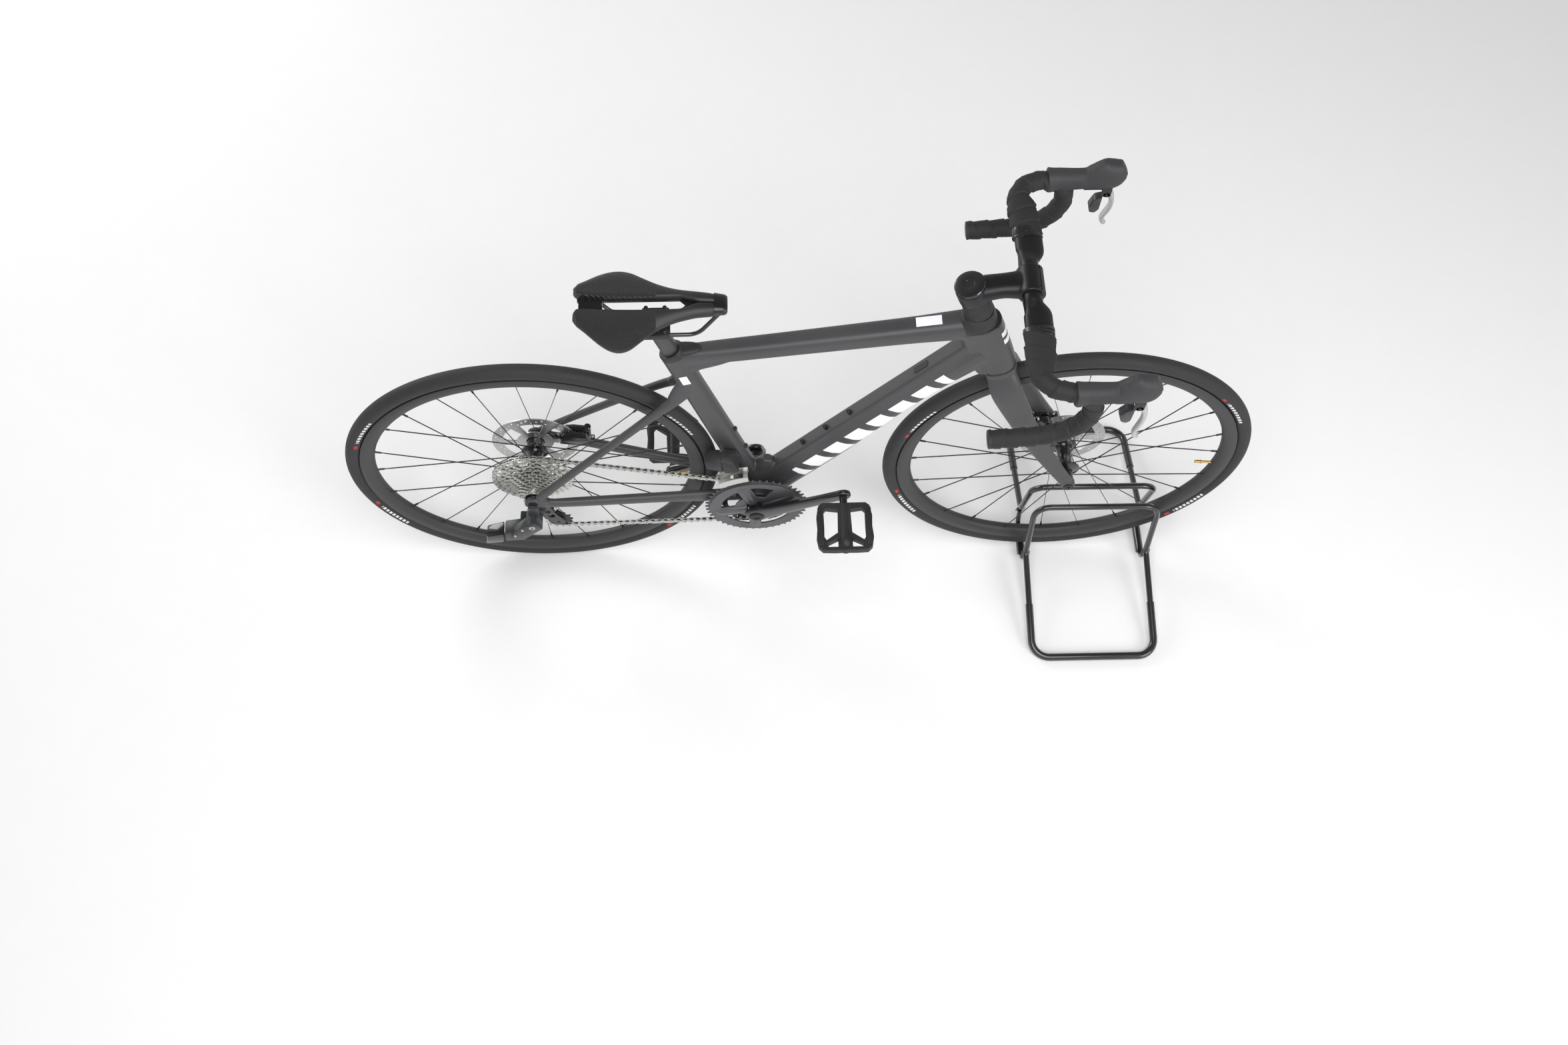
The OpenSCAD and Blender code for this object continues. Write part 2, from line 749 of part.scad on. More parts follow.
module faceplate() {
    color("#252527")
        bike()
            difference() {
                intersection() {
                    cross_rod(bar_c, 21, 50);
                    translate(bar_c)
                        rotate([0, 90 - head_angle + 10, 0])
                            translate([29.4, 0, 0])
                                cube([50, 60, 60], center = true);
                }
                cross_rod(bar_c, 15.95, 60);
            }
}
module stem_bolts() {
    color("#515154")
        bike() {
            for (d = [570, 584])
                translate(steer(d, -22.5))
                    rotate([90, 0, 0])
                        cylinder(h = 36, r = 3, center = true);
            translate(bar_c)
                rotate([0, 90 - head_angle + 10, 0])
                    for (sy = [-1, 1], sz = [-1, 1])
                        translate([20, sy * 16, sz * 17.5])
                            rotate([0, 90, 0])
                                cylinder(h = 4, r = 3.2, center = true);
        }
}
module top_cap() { color("#222224") bike() rod(steer(stem_top_d + 0.1), steer(stem_top_d + 5), 23, 20); }

bar_r = 15.9;
grip_r = 11.9;
tape_r = 15.5;
grip_start = 92;
function hook(s) = [
    bar_c + [0, s * 60, 1], bar_c + [-2, s * grip_start, 0], bar_c + [-6, s * 150, 2],
    bar_c + [-2, s * 172, 2], bar_c + [10, s * 190, 2], bar_c + [28, s * 199, 2],
    bar_c + [48, s * 202, 0], bar_c + [66, s * hood_y, -7], bar_c + [78, s * hood_y, -24],
    bar_c + [82, s * hood_y, -48], bar_c + [76, s * hood_y, -74], bar_c + [60, s * hood_y, -98],
    bar_c + [34, s * hood_y, -115], bar_c + [0, s * hood_y, -124], bar_c + [-66, s * hood_y, -130]];
module handlebar() {
    color("#2a2a2c")
        bike() {
            left = hook(1);
            right = hook(-1);
            n = len(left);
            p = concat([for (i = [n - 1 : -1 : 0]) left[i]], [bar_c + [0, 26, 0], bar_c + [0, -26, 0]], right);
            sweep(p, [for (q = p) abs(q[1]) < 27 ? bar_r : abs(q[1]) < 61 ? 14 : grip_r], 16);
        }
}
module bar_tape() {
    color("#1b1b1c")
        bike()
            for (s = [-1, 1])
                sleeve([for (i = [1 : len(hook(s)) - 1]) hook(s)[i]], tape_r, grip_r);
}
lever_pivot = bar_c + [148, 0, -26];
pin_r = 2.5;
module hood(s) {
    y = s * hood_y;
    difference() {
        hull() {
            translate(bar_c + [62, y, 14]) sphere(17, $fn = 24);
            translate(bar_c + [150, y, 2]) sphere(18, $fn = 24);
        }
        sweep([for (i = [4 : 12]) hook(s)[i]], tape_r + 0.3);
    }
    hull() {
        translate(bar_c + [150, y, 4]) sphere(17, $fn = 24);
        translate(bar_c + [160, y, 28]) sphere(14, $fn = 24);
    }
    for (side = [-1, 1]) {
        translate(lever_pivot + [-1, y + side * 11.5, 10]) cube([12, 3, 22], center = true);
        cross_rod(lever_pivot + [0, y + side * 11.5, 0], 6, 3);
    }
    cross_rod(lever_pivot + [0, y, 0], pin_r, 25);
}
module lever_hoods() {
    color("#343436")
        bike() {
            hood(1);
            hood(-1);
        }
}
// Point a distance d down the axis on which a shift paddle swings
paddle_pin_r = 1.5;
paddle_tilt = 4;
function paddle_at(s, d) = lever_pivot
    + [-9.5 - d * sin(paddle_tilt), s * (hood_y - 2), -16.5 - d * cos(paddle_tilt)];
module brake_lever(s) {
    y = s * hood_y;
    q = lever_pivot + [0, y, 0];
    difference() {
        union() {
            cross_rod(q, 6, 18);
            beam(q + [1, 0, -3], q + [10, 0, -14], 10, 12, 3);
            beam(q + [-3, 0, -2], q + [-9, 0, -15], 8, 8, 3);
        }
        cross_rod(q, pin_r + axle_fit, 30);
        rod(paddle_at(s, -6), paddle_at(s, 1), paddle_pin_r + axle_fit);
    }
    sweep([q + [9, 0, -12], q + [13, s * 2, -34], q + [7, s * 4, -62], q + [2, s * 5, -82],
        q + [8, s * 5, -92]], [6, 6, 5.5, 5, 4.5], 10);
}
module shift_paddle(s) {
    beam(paddle_at(s, 0), paddle_at(s, 35.6), 11, 16, 3);
    rod(paddle_at(s, -4.5), paddle_at(s, 5), paddle_pin_r);
}
module brake_lever_left() { color("#6f7073") bike() brake_lever(1); }
module brake_lever_right() { color("#6f7073") bike() brake_lever(-1); }
module shift_paddle_left() { color("#3c3d40") bike() shift_paddle(1); }
module shift_paddle_right() { color("#3c3d40") bike() shift_paddle(-1); }

// ---------- seat ----------
post_top = 543;
clamp_c = [249, 0, 447];
rail_z = 458;
rail_y = 22;
rail_r = 3.5;
module seatpost() {
    color("#48484a")
        bike() {
            rod(along_seat(seat_tube - 150), along_seat(post_top), post_r);
        }
}
module saddle_clamp() {
    color("#202022")
        bike()
            difference() {
                union() {
                    translate([clamp_c[0], 0, rail_z])
                        cube([42, 2 * rail_y + 16, 13], center = true);
                    translate([clamp_c[0], 0, rail_z - 10])
                        cube([36, 24, 10], center = true);
                }
                for (s = [-1, 1])
                    rod([180, s * rail_y, rail_z], [320, s * rail_y, rail_z], rail_r + axle_fit);
                rod(along_seat(seat_tube), along_seat(post_top), post_r);
            }
}
module saddle_rails() {
    color("#26262a")
        bike()
            for (s = [-1, 1]) {
                rod([196, s * rail_y, rail_z], [300, s * rail_y, rail_z], rail_r);
                rod([298, s * rail_y, rail_z], [348, s * 10, 496], rail_r);
                rod([198, s * rail_y, rail_z], [150, s * 30, 500], rail_r);
            }
}
// Half-widths of the saddle along its length, from tail to nose
function saddle_w(t) = 33 + 78 * pow(sin(min(t * 1.65, 1) * 90), 1.3) * (1 - t) * 0.98 * (1 - 0.25 * t)
    - 19 * t * t;
saddle_rear = 122;
saddle_len = 242;
module saddle_slab(z0, thick, inset) {
    n = 14;
    for (s = [-1, 1])
        polyhedron(
            [for (i = [0 : n]) let (t = i / n, x = saddle_rear + inset + t * (saddle_len - 2 * inset),
                w = max(14, saddle_w(t)) - inset, drop = 0.0042 * w * w, g = t < 0.75 ? 7 : 0.2)
                each [[x, s * g, z0], [x, s * w, z0 - drop], [x, s * w, z0 - drop - thick], [x, s * g, z0 - thick]]],
            s > 0 ? slab_faces(n) : [for (f = slab_faces(n)) [for (k = [len(f) - 1 : -1 : 0]) f[k]]]);
}
function slab_faces(n) = concat(
    [for (i = [0 : n - 1], k = [0 : 3]) let (m = (k + 1) % 4) [4 * i + k, 4 * i + 4 + k, 4 * i + 4 + m, 4 * i + m]],
    [[3, 2, 1, 0], [4 * n, 4 * n + 1, 4 * n + 2, 4 * n + 3]]);
module saddle_shell() { color("#151516") bike() saddle_slab(508, 6, 4); }
module saddle_cover() { color("#1f1f21") bike() saddle_slab(520, 11.5, 0); }

stand_hoop_left();
stand_hoop_right();
stand_foot_left();
stand_foot_right();
stand_stubs_left();
stand_stubs_right();
stand_sleeves();
fork();
spacers();
stem();
faceplate();
stem_bolts();
top_cap();
handlebar();
bar_tape();
lever_hoods();
front_caliper();
front_axle();
brake_lever_left();
brake_lever_right();
shift_paddle_left();
shift_paddle_right();
front_tyre();
front_rim();
front_hub();
front_spokes();
front_rotor();
frame_main();
frame_rear();
seat_clamp();
headset_cover();
headset_bearings();
frame_fittings();
bottom_bracket();
front_derailleur();
rear_derailleur();
rear_caliper();
rear_axle();
chain();
seatpost();
saddle_clamp();
saddle_rails();
saddle_shell();
saddle_cover();
crank_arm_right();
crank_arm_left();
chainrings();
crank_spindle();
pedal_axles();
pedal_body_right();
pedal_body_left();
rear_tyre();
rear_rim();
rear_hub();
rear_spokes();
rear_rotor();
cassette();
pulley_cage();
guide_pulley();
tension_pulley();
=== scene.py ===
"""Looks for the road bicycle on its floor stand.

Shapes are in millimetres from the rear axle, X forward, Y left, Z up.
"""
import math

import bmesh
import bpy
from mathutils import Matrix, Vector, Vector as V


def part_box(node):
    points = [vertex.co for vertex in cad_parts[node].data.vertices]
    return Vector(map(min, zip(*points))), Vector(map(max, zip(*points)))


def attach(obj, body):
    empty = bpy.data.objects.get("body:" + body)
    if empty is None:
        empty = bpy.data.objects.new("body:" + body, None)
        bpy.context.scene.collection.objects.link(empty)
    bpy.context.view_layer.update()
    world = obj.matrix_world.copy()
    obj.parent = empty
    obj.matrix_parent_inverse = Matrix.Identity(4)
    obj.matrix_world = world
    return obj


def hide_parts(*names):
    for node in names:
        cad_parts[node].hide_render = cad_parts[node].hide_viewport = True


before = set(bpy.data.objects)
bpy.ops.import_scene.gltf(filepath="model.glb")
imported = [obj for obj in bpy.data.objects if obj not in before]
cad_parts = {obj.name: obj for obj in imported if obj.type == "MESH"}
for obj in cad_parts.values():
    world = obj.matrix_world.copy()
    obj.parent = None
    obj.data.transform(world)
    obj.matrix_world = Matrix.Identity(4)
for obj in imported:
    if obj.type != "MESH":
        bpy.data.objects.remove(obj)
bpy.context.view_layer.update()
MM = 0.001
TAU = 2 * math.pi
CHAIN_PITCH = 12.7
TYRE_HALF = 14
GUIDE, TENSION = (5, 0, -106), (28, 0, -163)


def middle(node):
    low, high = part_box(node)
    return (low + high) / 2


# ---------- the bicycle's own frame ----------
rear_hub_at = middle("rear_tyre")
front_hub_at = middle("front_tyre")
base = front_hub_at - rear_hub_at
WHEELBASE = base.length / MM
PITCH = math.atan2(base.z, base.x)
ROW = Matrix.Scale(MM, 4)
BIKE = Matrix.Translation(rear_hub_at) @ Matrix.Rotation(-PITCH, 4, "Y") @ ROW
TO_BIKE = BIKE.inverted()
TYRE_R = (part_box("front_tyre")[1].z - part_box("front_tyre")[0].z) / 2 / MM
BB = TO_BIKE @ middle("crank_spindle")
PEDAL_R = TO_BIKE @ middle("pedal_body_right")
PEDAL_L = TO_BIKE @ middle("pedal_body_left")
FRONT = V((WHEELBASE, 0, 0))

HEAD_ANGLE = math.radians(71.5)
SEAT_ANGLE = math.radians(73)
FORK_RAKE = 53.5
STEM_LENGTH = 90
STEER_U = V((-math.cos(HEAD_ANGLE), 0, math.sin(HEAD_ANGLE)))
STEER_N = V((math.sin(HEAD_ANGLE), 0, math.cos(HEAD_ANGLE)))
SEAT_U = V((-math.cos(SEAT_ANGLE), 0, math.sin(SEAT_ANGLE)))
SEAT_N = V((math.sin(SEAT_ANGLE), 0, math.cos(SEAT_ANGLE)))


def steer(d, f=0.0, y=0.0):
    """Point d up the steering axis from the axle's level, f in front of it."""
    return FRONT + (f - FORK_RAKE) * STEER_N + d * STEER_U + V((0, y, 0))


def along_seat(d, f=0.0, y=0.0):
    """Point d up the seat tube from the bottom bracket, f in front of it."""
    return V((BB.x, y, BB.z)) + d * SEAT_U + f * SEAT_N


BAR = steer(566, STEM_LENGTH)
HOOD_Y = 204
CROWN, HEAD_TOP, COVER_TOP, SPACER_TOP, STEM_TOP = 364, 492, 523, 562, 594


def axes(x, y, z):
    """Matrix whose columns are three directions."""
    return Matrix((x, y, z)).transposed().to_4x4()


# ---------- camera and light ----------
def aim(azimuth, elevation, roll):
    """Camera axes for a view that looks along azimuth and down by elevation, turned by roll."""
    a, e, r = (math.radians(x) for x in (azimuth, elevation, roll))
    ahead = V((math.cos(e) * math.sin(a), math.cos(e) * math.cos(a), -math.sin(e)))
    right = V((math.cos(a), -math.sin(a), 0))
    up = right.cross(ahead)
    x = right * math.cos(r) + up * math.sin(r)
    y = up * math.cos(r) - right * math.sin(r)
    return axes(x, y, -ahead)


FOCAL, SENSOR = 37.295, 36
CAMERA_AT = (-0.1552, -1.4835, 2.9647)
CAMERA_TURN = (5.064, 62.509, 3.601)
lens = bpy.data.cameras.new("camera")
lens.lens, lens.sensor_width = FOCAL, SENSOR
lens.clip_end = 50
camera = bpy.data.objects.new("camera", lens)
bpy.context.scene.collection.objects.link(camera)
camera.matrix_world = Matrix.Translation(CAMERA_AT) @ aim(*CAMERA_TURN)
bpy.context.scene.camera = camera


def lamp(name, place, size, power):
    """A square soft box at place, aimed at the bicycle."""
    light = bpy.data.lights.new(name, "AREA")
    light.size = size
    light.energy = power
    thing = bpy.data.objects.new(name, light)
    thing.location = place
    thing.rotation_mode = "QUATERNION"
    thing.rotation_quaternion = (V((0, 0, 0.4)) - V(place)).to_track_quat("-Z", "Y")
    bpy.context.scene.collection.objects.link(thing)


lamp("overhead", (0.1, -1.5, 3.3), 2.4, 84)
lamp("front_right", (2.6, -2.6, 2.0), 1.6, 50)
lamp("rear_left", (-2.6, 2.4, 2.0), 1.6, 50)
world = bpy.data.worlds.new("studio")
bpy.context.scene.world = world
world.use_nodes = True
world.node_tree.nodes["Background"].inputs["Strength"].default_value = 0.92
bpy.context.scene.view_settings.view_transform = "Standard"


# ---------- shapes: each is (points, faces) ----------
def joined(*shapes):
    points, faces = [], []
    for p, f in shapes:
        first = len(points)
        points += p
        faces += [[i + first for i in face] for face in f]
    return points, faces


def placed(shape, matrix):
    return [matrix @ p for p in shape[0]], shape[1]


def shift(x, y=0.0, z=0.0):
    return Matrix.Translation((x, y, z))


def turn(degrees, axis):
    return Matrix.Rotation(math.radians(degrees), 4, axis)


def facing(origin, direction, up="Y"):
    """Matrix that stands Z along direction at origin."""
    return Matrix.Translation(origin) @ V(direction).to_track_quat("Z", up).to_matrix().to_4x4()


def crosswise(centre):
    """Matrix that lays Z along the bicycle's Y at centre."""
    return Matrix.Translation(centre) @ turn(-90, "X")


def rod(at, *size):
    """Cylinder that lies along the bicycle's Y at a point. Its size is given as for barrel."""
    return placed(barrel(*size), crosswise(at))


def skin(rings, closed=False):
    """Quads between rings of equal length, with flat ends unless closed."""
    n, count = len(rings[0]), len(rings)
    faces = []
    for i in range(count if closed else count - 1):
        a, b = i * n, (i + 1) % count * n
        faces += [[a + k, a + (k + 1) % n, b + (k + 1) % n, b + k] for k in range(n)]
    if not closed:
        faces += [list(range(n)), list(range((count - 1) * n, count * n))]
    return [p for ring in rings for p in ring], faces


def power_of(x, p):
    return math.copysign(abs(x) ** (2 / p), x)


def stations(path, up):
    """Point, across and high directions at each point of a path, carried along without twist."""
    path = [V(p) for p in path]
    high, out = V(up), []
    for i, p in enumerate(path):
        t = (path[min(i + 1, len(path) - 1)] - path[max(i - 1, 0)]).normalized()
        high = (high - high.dot(t) * t).normalized()
        out.append((p, t.cross(high), high))
    return out


def loft(path, halves, sides=24, power=2.0, up=(0, 0, 1)):
    """Tube along a path, with (half width, half height) at each point. Power over 2 squares it."""
    halves = [h if isinstance(h, tuple) else (h, h)
              for h in (halves if isinstance(halves, list) else [halves] * len(path))]
    rings = []
    for (p, across, high), (a, b) in zip(stations(path, up), halves):
        rings.append([p + across * a * power_of(math.cos(TAU * k / sides), power) + high * b
                      * power_of(math.sin(TAU * k / sides), power) for k in range(sides)])
    return skin(rings)


def smooth_path(points, step):
    """Points every step along a smooth curve through the given rows of numbers."""
    rows = [V(p) if len(p) == 3 else p for p in points]
    out = []
    for i in range(len(rows) - 1):
        p0, p1, p2, p3 = rows[max(i - 1, 0)], rows[i], rows[i + 1], rows[min(i + 2, len(rows) - 1)]
        length = math.dist(p1[:3], p2[:3])
        n = max(1, round(length / step))
        for k in range(n):
            t = k / n
            out.append(tuple(0.5 * (2 * b + (c - a) * t + (2 * a - 5 * b + 4 * c - d) * t * t
                                    + (3 * b - a - 3 * c + d) * t ** 3)
                             for a, b, c, d in zip(p0, p1, p2, p3)))
    return out + [tuple(rows[-1])]


def shaped(rows, step=6, sides=28, power=2.0, up=(0, 0, 1)):
    """Smooth tube from rows of x, y, z, half width, half height."""
    fine = smooth_path(rows, step)
    return loft([r[:3] for r in fine], [(r[3], r[4]) for r in fine], sides, power, up)


def lathe(profile, segments=48, closed=False):
    """(radius, height) points turned about Z."""
    rings = [[V((r * math.cos(TAU * k / segments), r * math.sin(TAU * k / segments), h))
              for k in range(segments)] for r, h in profile]
    return skin(rings, closed)


def barrel(r, length, edge=0.6, segments=32, bore=0.0):
    """Cylinder about Z with broken edges, centred on the origin."""
    h = length / 2
    profile = [(bore, -h), (r - edge, -h), (r, edge - h), (r, h - edge), (r - edge, h), (bore, h)]
    return lathe(profile, segments, closed=bore > 0)


def bent(points, radii, steps=8):
    """Straight runs joined by round bends at the inner points."""
    points = [V(p) for p in points]
    out = [points[0]]
    for a, b, c, r in zip(points, points[1:], points[2:], radii):
        u, v = (a - b).normalized(), (c - b).normalized()
        half = u.angle(v) / 2
        o = b + (u + v).normalized() * r / math.sin(half)
        e0 = (b + u * r / math.tan(half) - o) / r
        e1 = (b + v * r / math.tan(half) - o) / r
        side = (e1 - e1.dot(e0) * e0).normalized()
        sweep = math.pi - 2 * half
        out += [o + r * (math.cos(sweep * k / steps) * e0 + math.sin(sweep * k / steps) * side)
                for k in range(steps + 1)]
    return out + [points[-1]]


def block(size, corner, cuts=2):
    """Box about the origin with rounded edges."""
    bm = bmesh.new()
    bmesh.ops.create_cube(bm, size=1)
    bmesh.ops.scale(bm, vec=size, verts=bm.verts)
    bmesh.ops.bevel(bm, geom=bm.edges[:], offset=corner, segments=cuts, affect="EDGES", profile=0.5)
    shape = [v.co.copy() for v in bm.verts], [[v.index for v in f.verts] for f in bm.faces]
    bm.free()
    return shape


def hull(points, corner=0.0, cuts=2):
    """Faceted body round the given points, with its edges broken by corner."""
    bm = bmesh.new()
    for p in points:
        bm.verts.new(p)
    made = bmesh.ops.convex_hull(bm, input=bm.verts[:])
    bmesh.ops.delete(bm, geom=list({v for v in made["geom_interior"] if isinstance(v, bmesh.types.BMVert)}),
                     context="VERTS")
    bmesh.ops.dissolve_limit(bm, angle_limit=0.05, verts=bm.verts[:], edges=bm.edges[:])
    if corner:
        bmesh.ops.bevel(bm, geom=bm.edges[:], offset=corner, segments=cuts, affect="EDGES", profile=0.5,
                        clamp_overlap=True)
    bm.verts.index_update()
    shape = [v.co.copy() for v in bm.verts], [[v.index for v in f.verts] for f in bm.faces]
    bm.free()
    return shape


def plate(outline, thick, holes=(), edge=0.3):
    """Flat plate about Z from an outline and its holes, with broken edges."""
    data = bpy.data.curves.new("outline", "CURVE")
    data.dimensions = "2D"
    data.fill_mode = "BOTH"
    data.extrude = thick / 2 - edge
    data.bevel_depth = edge
    data.bevel_resolution = 0
    data.offset = -edge
    for loop in [outline, *holes]:
        spline = data.splines.new("POLY")
        spline.points.add(len(loop) - 1)
        spline.use_cyclic_u = True
        for point, (x, y) in zip(spline.points, loop):
            point.co = (x, y, 0, 1)
    thing = bpy.data.objects.new("outline", data)
    mesh = thing.to_mesh()
    shape = [v.co.copy() for v in mesh.vertices], [list(f.vertices) for f in mesh.polygons]
    thing.to_mesh_clear()
    bpy.data.objects.remove(thing)
    bpy.data.curves.remove(data)
    return shape


def ring_of(r, n=48, x=0.0, y=0.0):
    return [(x + r * math.cos(TAU * k / n), y + r * math.sin(TAU * k / n)) for k in range(n)]


def arc(r, a0, a1, n=8, x=0.0, y=0.0):
    """Points on an arc from a0 to a1 degrees."""
    return [(x + r * math.cos(math.radians(a0 + (a1 - a0) * k / n)),
             y + r * math.sin(math.radians(a0 + (a1 - a0) * k / n))) for k in range(n + 1)]


def pitch_radius(teeth):
    return CHAIN_PITCH / 2 / math.sin(math.pi / teeth)


def toothed(teeth, depth=3.6, high=3.2):
    """Outline of a sprocket for the chain, with rounded valleys and narrow tips."""
    r, step = pitch_radius(teeth), TAU / teeth
    shape = [(-0.5, -depth), (-0.3, -depth * 0.8), (-0.16, 0.2), (-0.08, high), (0.08, high), (0.16, 0.2),
             (0.3, -depth * 0.8)]
    return [((r + q) * math.cos((i + g) * step), (r + q) * math.sin((i + g) * step)) for i in range(teeth)
            for g, q in shape]


def slot_hole(r0, r1, a0, a1):
    """Window between two radii and two angles."""
    return arc(r1, a0, a1, 10) + arc(r0, a1, a0, 10)


# ---------- pieces ----------
def piece(name, shape, body, material, replaces=(), at=BIKE, sharp=38, level=0, fuse=0.0, rounds=0):
    """Makes one visible piece. Parts melt together at a voxel of fuse mm, then are smoothed rounds times."""
    mesh = bpy.data.meshes.new(name)
    mesh.from_pydata([tuple(p) for p in shape[0]], [], shape[1])
    bm = bmesh.new()
    bm.from_mesh(mesh)
    bmesh.ops.remove_doubles(bm, verts=bm.verts[:], dist=0.002)
    bmesh.ops.recalc_face_normals(bm, faces=bm.faces[:])
    bm.to_mesh(mesh)
    bm.free()
    thing = bpy.data.objects.new(name, mesh)
    bpy.context.scene.collection.objects.link(thing)
    if fuse:
        melt = thing.modifiers.new("melt", "REMESH")
        melt.mode = "VOXEL"
        melt.voxel_size = fuse
        if rounds:
            ease = thing.modifiers.new("ease", "SMOOTH")
            ease.factor = 0.5
            ease.iterations = rounds
        solid = bpy.data.meshes.new_from_object(thing.evaluated_get(bpy.context.evaluated_depsgraph_get()))
        thing.modifiers.clear()
        thing.data = solid
        bpy.data.meshes.remove(mesh)
        mesh = solid
        mesh.name = name
    mesh.transform(at)
    for face in mesh.polygons:
        face.use_smooth = True
    if not fuse:
        mesh.set_sharp_from_angle(angle=math.radians(sharp))
    if level:
        finer = thing.modifiers.new("finer", "SUBSURF")
        finer.levels = finer.render_levels = level
    mesh.materials.clear()
    mesh.materials.append(material)
    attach(thing, body)
    if replaces:
        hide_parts(*([replaces] if isinstance(replaces, str) else replaces))
    return thing


# ---------- materials ----------
def linear(code):
    """sRGB hex to the linear colour that a shader takes."""
    parts = [int(code[i:i + 2], 16) / 255 for i in (1, 3, 5)]
    return tuple(c / 12.92 if c <= 0.04045 else ((c + 0.055) / 1.055) ** 2.4 for c in parts) + (1.0,)


def add(tree, kind, inputs=None, **settings):
    """Adds a node, sets its properties and sets or links its inputs."""
    node = tree.nodes.new("ShaderNode" + kind)
    for key, value in settings.items():
        setattr(node, key, value)
    for key, value in (inputs or {}).items():
        if isinstance(value, bpy.types.NodeSocket):
            tree.links.new(value, node.inputs[key])
        else:
            node.inputs[key].default_value = value
    return node


def dim_overhead(tree):
    """White studio whose ceiling is darker than its walls, so tops read darker than sides."""
    xyz = add(tree, "SeparateXYZ", {0: add(tree, "TexCoord").outputs["Generated"]})
    level = add(tree, "MapRange", {"Value": xyz.outputs["Z"], "From Min": 0.1, "From Max": 0.85,
                                   "To Min": 1.0, "To Max": 0.16})
    tree.links.new(level.outputs[0], tree.nodes["Background"].inputs["Color"])


dim_overhead(world.node_tree)


def finish(name, light, dark, rough, grain, relief, spread=0.25, detail=4, **shader):
    """A material mottled between two colours, its roughness and relief following the same grain (mm)."""
    material = bpy.data.materials.new(name)
    material.use_nodes = True
    tree = material.node_tree
    tree.nodes.clear()
    where = add(tree, "TexCoord")
    grainy = add(tree, "TexNoise", {"Vector": where.outputs["Object"], "Scale": 1 / (grain * MM),
                                    "Detail": detail})
    cloudy = add(tree, "TexNoise",
                 {"Vector": where.outputs["Object"], "Scale": 1 / (90 * MM), "Detail": 3.0})
    both = add(tree, "Math", {0: grainy.outputs["Fac"], 1: cloudy.outputs["Fac"]}, operation="ADD")
    share = add(tree, "MapRange",
                {"Value": both.outputs[0], "From Min": 1 - spread, "From Max": 1 + spread})
    colour = add(tree, "Mix", {0: share.outputs[0], 6: linear(dark), 7: linear(light)}, data_type="RGBA")
    dull = add(tree, "MapRange", {"Value": both.outputs[0], "From Min": 0.7, "From Max": 1.3,
                                  "To Min": rough[0], "To Max": rough[1]})
    bump = add(tree, "Bump", {"Height": grainy.outputs["Fac"], "Strength": 0.6, "Distance": relief * MM})
    bsdf = add(tree, "BsdfPrincipled", {"Base Color": colour.outputs[2], "Roughness": dull.outputs[0],
                                        "Normal": bump.outputs[0], **shader})
    add(tree, "OutputMaterial", {"Surface": bsdf.outputs[0]})
    return material


def parts_of(material):
    """The tree, shader, object coordinates, and current colour of a finish."""
    tree = material.node_tree
    bsdf = next(n for n in tree.nodes if n.type == "BSDF_PRINCIPLED")
    where = next(n for n in tree.nodes if n.type == "TEX_COORD").outputs["Object"]
    return tree, bsdf, where, bsdf.inputs["Base Color"].links[0].from_socket


SATIN_COAT = {"Coat Weight": 0.12, "Coat Roughness": 0.3}
# Satin lacquer over carbon fibre: soft even grey, a faint cloudiness, a dull broad highlight
carbon = finish("satin_carbon_lacquer", "#3c3c3e", "#343436", (0.42, 0.52), 0.8, 0.01, **SATIN_COAT)
# The same lacquer on the post and fork, where no graphics are
plain_carbon = finish("satin_carbon_plain", "#3c3c3e", "#343436", (0.42, 0.52), 0.8, 0.01, **SATIN_COAT)
# Glass-filled nylon, moulded: fine even grain, no shine
nylon = finish("moulded_nylon", "#222224", "#1a1a1c", (0.5, 0.62), 0.5, 0.03)
# Black anodised aluminium, bead-blasted first: even and satin
anodised = finish("black_anodised_aluminium", "#262628", "#1e1e20", (0.34, 0.44), 0.4, 0.012, Metallic=0.55)
# Gloss black moulding and paint: sharp highlights
gloss = finish("gloss_black_moulding", "#1d1d1f", "#161618", (0.14, 0.22), 1.2, 0.006,
               **{"Coat Weight": 0.5, "Coat Roughness": 0.08})
# Powder coat on steel tube: glossy with a slight orange peel
enamel = finish("black_powder_coat", "#222226", "#19191c", (0.16, 0.24), 2.2, 0.05,
                **{"Coat Weight": 0.6, "Coat Roughness": 0.12})
# Tyre tread compound: dark, dusty, matte
tread = finish("tyre_rubber", "#29292b", "#202022", (0.62, 0.78), 1.5, 0.05, spread=0.4)
# Carbon-look rim lacquer: dark matte
rim_black = finish("matte_black_rim", "#303032", "#28282a", (0.46, 0.56), 0.8, 0.01)
# Wrapped cork-foam tape: dull, with a fine leathery grain
tape_skin = finish("cork_foam_tape", "#202021", "#161617", (0.66, 0.8), 1.1, 0.12, spread=0.35)
# Thin vinyl tape that closes the wrap: glossy
vinyl = finish("vinyl_tape", "#252527", "#19191b", (0.2, 0.3), 3.0, 0.1)
# Hood rubber: dark grey, soft, slightly bloomed
hood_rubber = finish("hood_rubber", "#343436", "#2c2c2e", (0.58, 0.7), 0.6, 0.03)
# Grey anodised lever blades: metallic with a soft sheen
lever_grey = finish("grey_anodised_aluminium", "#c4c5c7", "#b0b1b3", (0.3, 0.4), 0.5, 0.008, Metallic=0.7)
# Dark grey moulded paddle
paddle_grey = finish("dark_grey_moulding", "#343537", "#2b2c2e", (0.32, 0.42), 0.6, 0.012)
# Ground stainless steel: bright with a fine scratch
steel = finish("ground_stainless_steel", "#c9c9c8", "#b4b4b3", (0.24, 0.36), 0.6, 0.01, Metallic=0.9)
